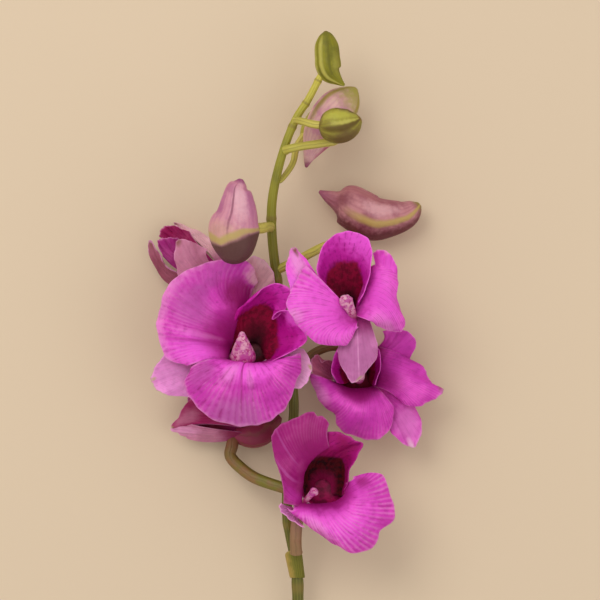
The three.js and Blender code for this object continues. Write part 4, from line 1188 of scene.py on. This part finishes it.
def stem_finish(name):
    """The stem: dark olive low down, yellow green towards its tip, with scars at its joints."""
    paint = Finish(name)
    side, out = paint.surface()
    broad = paint.noise(120, 4)
    fine = paint.noise(1500, 3)
    tint = paint.mix(colour(0x585606), colour(0x8E8A12), paint.rise(out, 0.35, 0.72))
    tint = paint.mix(tint, colour(0xC8BC46), paint.rise(out, 0.66, 0.9))
    tint = paint.mix(tint, colour(0x4A4A08), paint.rise(broad, 0.5, 0.75) * 0.5)
    grooves = paint.stripes(side, 11, 0.25, broad)
    tint = paint.mix(tint, colour(0xA2A244), grooves * 0.25)
    tint = paint.mix(tint, colour(0xB9AE78), paint.rise(out, 0.004, 0.001))
    for joint in STEM_JOINTS:
        ring = paint.rise(paint.maths("ABSOLUTE", out - joint), 0.006, 0.001)
        tint = paint.mix(tint, colour(0x7E6A28), ring * 0.6)
    return paint.shade(
        tint, 0.4 + fine * 0.15, grooves * 0.4 + fine * 0.4, 0.00018,
        **{"Subsurface Weight": 0.06, "Subsurface Radius": (0.0006, 0.0008, 0.0002)},
    )


def bract_finish(name):
    """The dry sheathing bract: papery yellow green with a brown rim."""
    paint = Finish(name)
    side, out = paint.surface()
    broad = paint.noise(300, 3)
    tint = paint.mix(colour(0xA88E40), colour(0x6C6A04), paint.rise(side + (broad - 0.5) * 0.3, 0.25, 0.5))
    grooves = paint.stripes(side, 15, 0.3, broad)
    tint = paint.mix(tint, colour(0x565008), grooves * 0.25)
    tint = paint.mix(tint, colour(0xA89858), paint.rise(out, 0.93, 1.0) * 0.5)
    return paint.shade(tint, 0.55 + broad * 0.1, grooves * -0.5 + broad, 0.0002)


def bud_finish(name, look):
    """A closed bud: two tones along its length, ridges where its sepals meet, and tinted ends."""
    paint = Finish(name)
    side, out = paint.surface()
    broad = paint.noise(180, 4)
    fine = paint.noise(700, 4)
    grain = paint.noise(2600, 2)
    tint = paint.mix(colour(look["base"]), colour(look["second"]), paint.rise(broad, 0.42, 0.68))
    tint = paint.mix(tint, colour(look["second"]), paint.stripes(side, 24, 0.35, broad) * 0.4)
    # Patches of the bud's own colour, and on some buds painted highlights.
    for across, lengthwise, half_across, half_along, patch, strength in look["patches"]:
        spot = paint.spot(side, out, (across, lengthwise), (half_across, half_along), fine)
        tint = paint.mix(tint, colour(patch), spot * strength)
    for seam, start, end in look["seams"]:
        distance = paint.maths("ABSOLUTE", side - seam + (broad - 0.5) * 0.03)
        line = paint.rise(distance, 0.045, 0.01) * paint.rise(out, start, end)
        tint = paint.mix(tint, colour(look["ridge"]), line * 0.85)
    if "collar" in look:
        turn, lowest, slope = look["collar"]
        rim = lowest - paint.maths("ABSOLUTE", side - turn) * slope
        below = out - rim + (broad - 0.5) * 0.03
        tint = paint.mix(tint, colour(look["cup"]), paint.rise(below, 0.0, 0.05) * 0.95)
        line = paint.rise(paint.maths("ABSOLUTE", below), 0.035, 0.008)
        tint = paint.mix(tint, colour(look["ridge"]), line * 0.85)
    return paint.shade(
        tint, 0.42 + grain * 0.2, fine * 0.7 + grain * 0.3, 0.00025,
        **{"Subsurface Weight": 0.1, "Subsurface Radius": (0.0015, 0.0007, 0.0006),
           "Specular IOR Level": 0.3},
    )



class OrchidSizes(bpy.types.PropertyGroup):
    """Sizes that change the look of the spray and leave its outline as it is."""

    petal_thickness: bpy.props.FloatProperty(
        name="Petal thickness", description="Thickness of petals and lips", default=0.0004,
        min=0.0001, max=0.001, unit="LENGTH",
    )
    sepal_thickness: bpy.props.FloatProperty(
        name="Sepal thickness", description="Thickness of sepals and the bract", default=0.0005,
        min=0.0001, max=0.001, unit="LENGTH",
    )
    ripple: bpy.props.FloatProperty(
        name="Rim ripple", description="Height of the waves along a petal's rim, in millimetres",
        default=0.6, min=0.0, max=1.5,
    )
    camera_height: bpy.props.FloatProperty(
        name="Camera height", description="Height of the camera above the middle of the spray",
        default=1.8, min=0.5, max=5.0, unit="LENGTH",
    )
    framed_width: bpy.props.FloatProperty(
        name="Framed width", description="Width that the camera frames", default=0.21,
        min=0.05, max=1.0, unit="LENGTH",
    )


class OrchidColours(bpy.types.PropertyGroup):
    """Colours of the stage."""

    floor: bpy.props.FloatVectorProperty(
        name="Floor", description="Colour of the floor", default=colour(0xD9C6AE),
        subtype="COLOR", min=0, max=1,
    )
    light: bpy.props.FloatVectorProperty(
        name="Light", description="Colour of the lamps", default=colour(0xFFFAF2),
        subtype="COLOR", min=0, max=1,
    )


def blades_of(kinds):
    """The blades whose name holds one of the kinds: their node, heart, blade and look."""
    for bloom_name, bloom in BLOOMS.items():
        for blade_name, blade in bloom["blades"].items():
            if any(kind in blade_name for kind in kinds):
                node = f"{bloom_name}_{blade_name}"
                yield node, bloom["heart"], blade, LOOKS.get(node, {})


class ORCHID_OT_stem(bpy.types.Operator):
    """Finish the stem with its joints and cut end, and the sheathing bract"""

    bl_idname = "orchid.stem"
    bl_label = "Stem"

    def execute(self, context):
        def swell(turn, place):
            rings = sum(0.22 * bump(place, joint, 0.004) for joint in STEM_JOINTS)
            grooves = 0.05 * np.sin(2 * np.pi * 7 * turn)
            return rings + grooves

        stem = loft_piece("stem_finished", STEM + STEM_END, 24, 300, swell=swell)
        hand_over(stem, "stem", stem_finish("stem_skin"))

        def wrap(side, out):
            angle = BRACT["half_angle"] * (2 * side - 1)
            centre = np.outer(1 - out, BRACT["bottom"]) + np.outer(out, BRACT["top"])
            radius = BRACT["inner"] + (BRACT["outer"] - BRACT["inner"]) * out
            radius += BRACT["rib_height"] * np.sin(2 * np.pi * BRACT["ribs"] * side)
            reach = BRACT["tongue"] * out**3 * np.cos(angle)
            offset = np.column_stack([radius * np.sin(angle), reach, radius * np.cos(angle)])
            return centre + offset

        bract = grid_piece("lower_bract_finished", 48, 16, wrap)
        thickness = context.scene.orchid_sizes.sepal_thickness
        apply_modifier(bract, "SOLIDIFY", thickness=thickness, offset=0)
        apply_modifier(bract, "SUBSURF", levels=1, render_levels=1)
        bpy.ops.object.shade_smooth()
        hand_over(bract, "lower_bract", bract_finish("bract_skin"))
        return {"FINISHED"}


class ORCHID_OT_petals(bpy.types.Operator):
    """Finish the petals of the open and half-open blooms"""

    bl_idname = "orchid.petals"
    bl_label = "Petals"

    def execute(self, context):
        sizes = context.scene.orchid_sizes
        for node, heart, blade, look in blades_of(["petal"]):
            petal = blade_piece(
                f"{node}_finished", heart, blade, look, sizes.petal_thickness, PETAL_GRID, sizes.ripple
            )
            finish = blade_finish(f"{node}_skin", look, "magenta", "maroon", 0.35, 0.4, 0.5)
            hand_over(petal, node, finish)
        return {"FINISHED"}


class ORCHID_OT_sepals(bpy.types.Operator):
    """Finish the sepals of the open and half-open blooms"""

    bl_idname = "orchid.sepals"
    bl_label = "Sepals"

    def execute(self, context):
        sizes = context.scene.orchid_sizes
        for node, heart, blade, look in blades_of(["sepal"]):
            sepal = blade_piece(
                f"{node}_finished", heart, blade, look, sizes.sepal_thickness, SEPAL_GRID,
                sizes.ripple * 0.5,
            )
            finish = blade_finish(f"{node}_skin", look, "sepal_pink", "plum", 0.5, 0.3, 0.35)
            hand_over(sepal, node, finish)
        return {"FINISHED"}


class ORCHID_OT_lips(bpy.types.Operator):
    """Finish the lips, whose lobes stand round the throat"""

    bl_idname = "orchid.lips"
    bl_label = "Lips"

    def execute(self, context):
        sizes = context.scene.orchid_sizes
        for node, heart, blade, look in blades_of(["lip"]):
            lip = blade_piece(
                f"{node}_finished", heart, blade, look, sizes.petal_thickness, LIP_GRID,
                sizes.ripple * 0.6,
            )
            hand_over(lip, node, lip_finish(f"{node}_skin", look))
        return {"FINISHED"}


class ORCHID_OT_columns(bpy.types.Operator):
    """Finish the column of each open bloom and the spur of each half-open one"""

    bl_idname = "orchid.columns"
    bl_label = "Columns and spurs"

    def execute(self, context):
        for bloom_name, bloom in BLOOMS.items():
            part = "column" if "column" in bloom else "spur"
            stations = [
                tuple(value + base for value, base in zip(station, (*bloom["heart"], 0)))
                for station in bloom[part]
            ]
            node = f"{bloom_name}_{part}"
            piece = loft_piece(f"{node}_finished", stations, 20, 24, COLUMN_FLATTENING)
            if part == "column":
                hand_over(piece, node, column_finish(f"{node}_skin"))
            else:
                hand_over(piece, node, stalk_finish(f"{node}_skin", *SPUR_TINTS))
        return {"FINISHED"}


class ORCHID_OT_chins(bpy.types.Operator):
    """Add the chin of each open bloom, the cup behind its throat where sepals, petals and lip join"""

    bl_idname = "orchid.chins"
    bl_label = "Chins"

    def execute(self, context):
        outside = stalk_finish("chin_skin", *CHIN_TINTS)
        for bloom_name, bloom in BLOOMS.items():
            if "chin" not in bloom:
                continue
            x, y, z, wide, tall, depth = bloom["chin"]
            centre = (np.array((x, y, z)) + bloom["heart"] + OFFSET) * MM
            bpy.ops.object.select_all(action="DESELECT")
            bpy.ops.mesh.primitive_uv_sphere_add(segments=48, ring_count=24, radius=1)
            chin = context.object
            chin.name = f"{bloom_name}_chin"
            bpy.ops.object.mode_set(mode="EDIT")
            bpy.ops.mesh.select_all(action="SELECT")
            bpy.ops.mesh.bisect(plane_co=(0, 0, 0), plane_no=(0, 0, 1), clear_outer=True)
            bpy.ops.mesh.select_all(action="SELECT")
            bpy.ops.transform.resize(value=(wide * MM, tall * MM, depth * MM), center_override=(0, 0, 0))
            bpy.ops.transform.translate(value=centre)
            bpy.ops.object.mode_set(mode="OBJECT")
            chin.data.materials.append(outside)
            chin.data.materials.append(throat_finish(f"{bloom_name}_throat_skin", THROATS[bloom_name]))
            apply_modifier(chin, "SOLIDIFY", thickness=CHIN_WALL, offset=-1, material_offset=1)
            bpy.ops.object.shade_smooth()
            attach(chin, "root")
        return {"FINISHED"}


class ORCHID_OT_stalks(bpy.types.Operator):
    """Finish the stalks of the blooms and buds"""

    bl_idname = "orchid.stalks"
    bl_label = "Stalks"

    def execute(self, context):
        owners = [*BLOOMS.items(), *BUDS.items()]
        for owner, parts in owners:
            if "stalk" not in parts:
                continue
            node = f"{owner}_stalk"

            def swell(turn, place):
                return GROOVE_DEPTH * np.sin(2 * np.pi * 6 * turn) + 0.25 * bump(place, 0.0, 0.06)

            stalk = loft_piece(f"{node}_finished", parts["stalk"], 24, 40, swell=swell)
            root_tint, end_tint, flush = STALK_TINTS.get(owner, PLAIN_STALK)
            hand_over(stalk, node, stalk_finish(f"{node}_skin", root_tint, end_tint, flush))
        return {"FINISHED"}


class ORCHID_OT_buds(bpy.types.Operator):
    """Finish the closed buds with the seams where their sepals meet"""

    bl_idname = "orchid.buds"
    bl_label = "Buds"

    def execute(self, context):
        for bud_name, bud in BUDS.items():
            look = BUD_LOOKS[bud_name]

            def swell(turn, place):
                body = np.sin(np.pi * np.clip(place, 0, 1))
                total = 0.1 * np.sin(2 * np.pi * 9 * turn) * body
                for seam, start, end in look["seams"]:
                    total += 0.35 * bump(turn, seam, 0.02) * body
                    total -= 0.25 * bump(turn, seam + 0.045, 0.02) * body
                return total

            piece = loft_piece(f"{bud_name}_finished", bud["body"], 64, 48, FLATTENED_BUD, swell)
            hand_over(piece, bud_name, bud_finish(f"{bud_name}_skin", look))
        return {"FINISHED"}


class ORCHID_OT_stage(bpy.types.Operator):
    """Add the floor, the soft lamps and the camera, which looks straight down"""

    bl_idname = "orchid.stage"
    bl_label = "Stage"

    def execute(self, context):
        sizes = context.scene.orchid_sizes
        colours = context.scene.orchid_colours
        centre_x, centre_y, _ = OFFSET * MM
        middle_height = CAD_HIGH[2] / 2
        bpy.ops.object.select_all(action="DESELECT")
        bpy.ops.mesh.primitive_plane_add(size=FLOOR_WIDTH)
        floor = context.object
        floor.name = "floor"
        paint = Finish("floor_paint")
        cloud = paint.noise(3, 2)
        tint = paint.mix(colours.floor, [part * 0.97 for part in colours.floor], cloud)
        floor.data.materials.append(paint.shade(tint, 0.9 + cloud * 0.05, cloud, 0.0001))

        world = bpy.data.worlds.new("studio")
        world.use_nodes = True
        background = world.node_tree.nodes["Background"].inputs
        background["Color"].default_value = (*colours.light, 1)
        background["Strength"].default_value = WORLD_LIGHT
        context.scene.world = world
        for name, ((right, ahead, height), size, power) in LAMPS.items():
            place = (centre_x + right, centre_y + ahead, height)
            bpy.ops.object.light_add(type="AREA", location=place)
            lamp = context.object
            lamp.name = name
            lamp.data.size = size
            lamp.data.energy = power
            lamp.data.color = colours.light
            aim = lamp.location.copy()
            aim.x = right
            aim.y = ahead
            lamp.rotation_euler = aim.to_track_quat("Z", "Y").to_euler()

        bpy.ops.object.camera_add(location=(centre_x, centre_y, middle_height + sizes.camera_height))
        camera = context.object
        camera.name = "camera"
        camera.data.lens = camera.data.sensor_width * sizes.camera_height / sizes.framed_width
        camera.data.clip_end = 10
        context.scene.camera = camera
        context.scene.view_settings.view_transform = "Standard"
        return {"FINISHED"}


class ORCHID_PT_panel(bpy.types.Panel):
    """The steps that finish the spray"""

    bl_idname = "ORCHID_PT_panel"
    bl_label = "Dendrobium Spray"
    bl_space_type = "VIEW_3D"
    bl_region_type = "UI"
    bl_category = "Orchid"

    def draw(self, context):
        for group in (context.scene.orchid_sizes, context.scene.orchid_colours):
            box = self.layout.box()
            for name in group.__annotations__:
                box.prop(group, name)
        for step in STEPS:
            self.layout.operator(step.bl_idname)


STEPS = (
    ORCHID_OT_stem,
    ORCHID_OT_stalks,
    ORCHID_OT_buds,
    ORCHID_OT_columns,
    ORCHID_OT_chins,
    ORCHID_OT_lips,
    ORCHID_OT_petals,
    ORCHID_OT_sepals,
    ORCHID_OT_stage,
)

CLASSES = (OrchidSizes, OrchidColours, *STEPS, ORCHID_PT_panel)


def register():
    for made_class in CLASSES:
        bpy.utils.register_class(made_class)
    bpy.types.Scene.orchid_sizes = bpy.props.PointerProperty(type=OrchidSizes)
    bpy.types.Scene.orchid_colours = bpy.props.PointerProperty(type=OrchidColours)


def unregister():
    del bpy.types.Scene.orchid_colours
    del bpy.types.Scene.orchid_sizes
    for made_class in reversed(CLASSES):
        bpy.utils.unregister_class(made_class)


def main():
    register()
    bpy.ops.orchid.stem()
    bpy.ops.orchid.stalks()
    bpy.ops.orchid.buds()
    bpy.ops.orchid.columns()
    bpy.ops.orchid.chins()
    bpy.ops.orchid.lips()
    bpy.ops.orchid.petals()
    bpy.ops.orchid.sepals()
    bpy.ops.orchid.stage()
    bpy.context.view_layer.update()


if __name__ == "__main__":
    main()
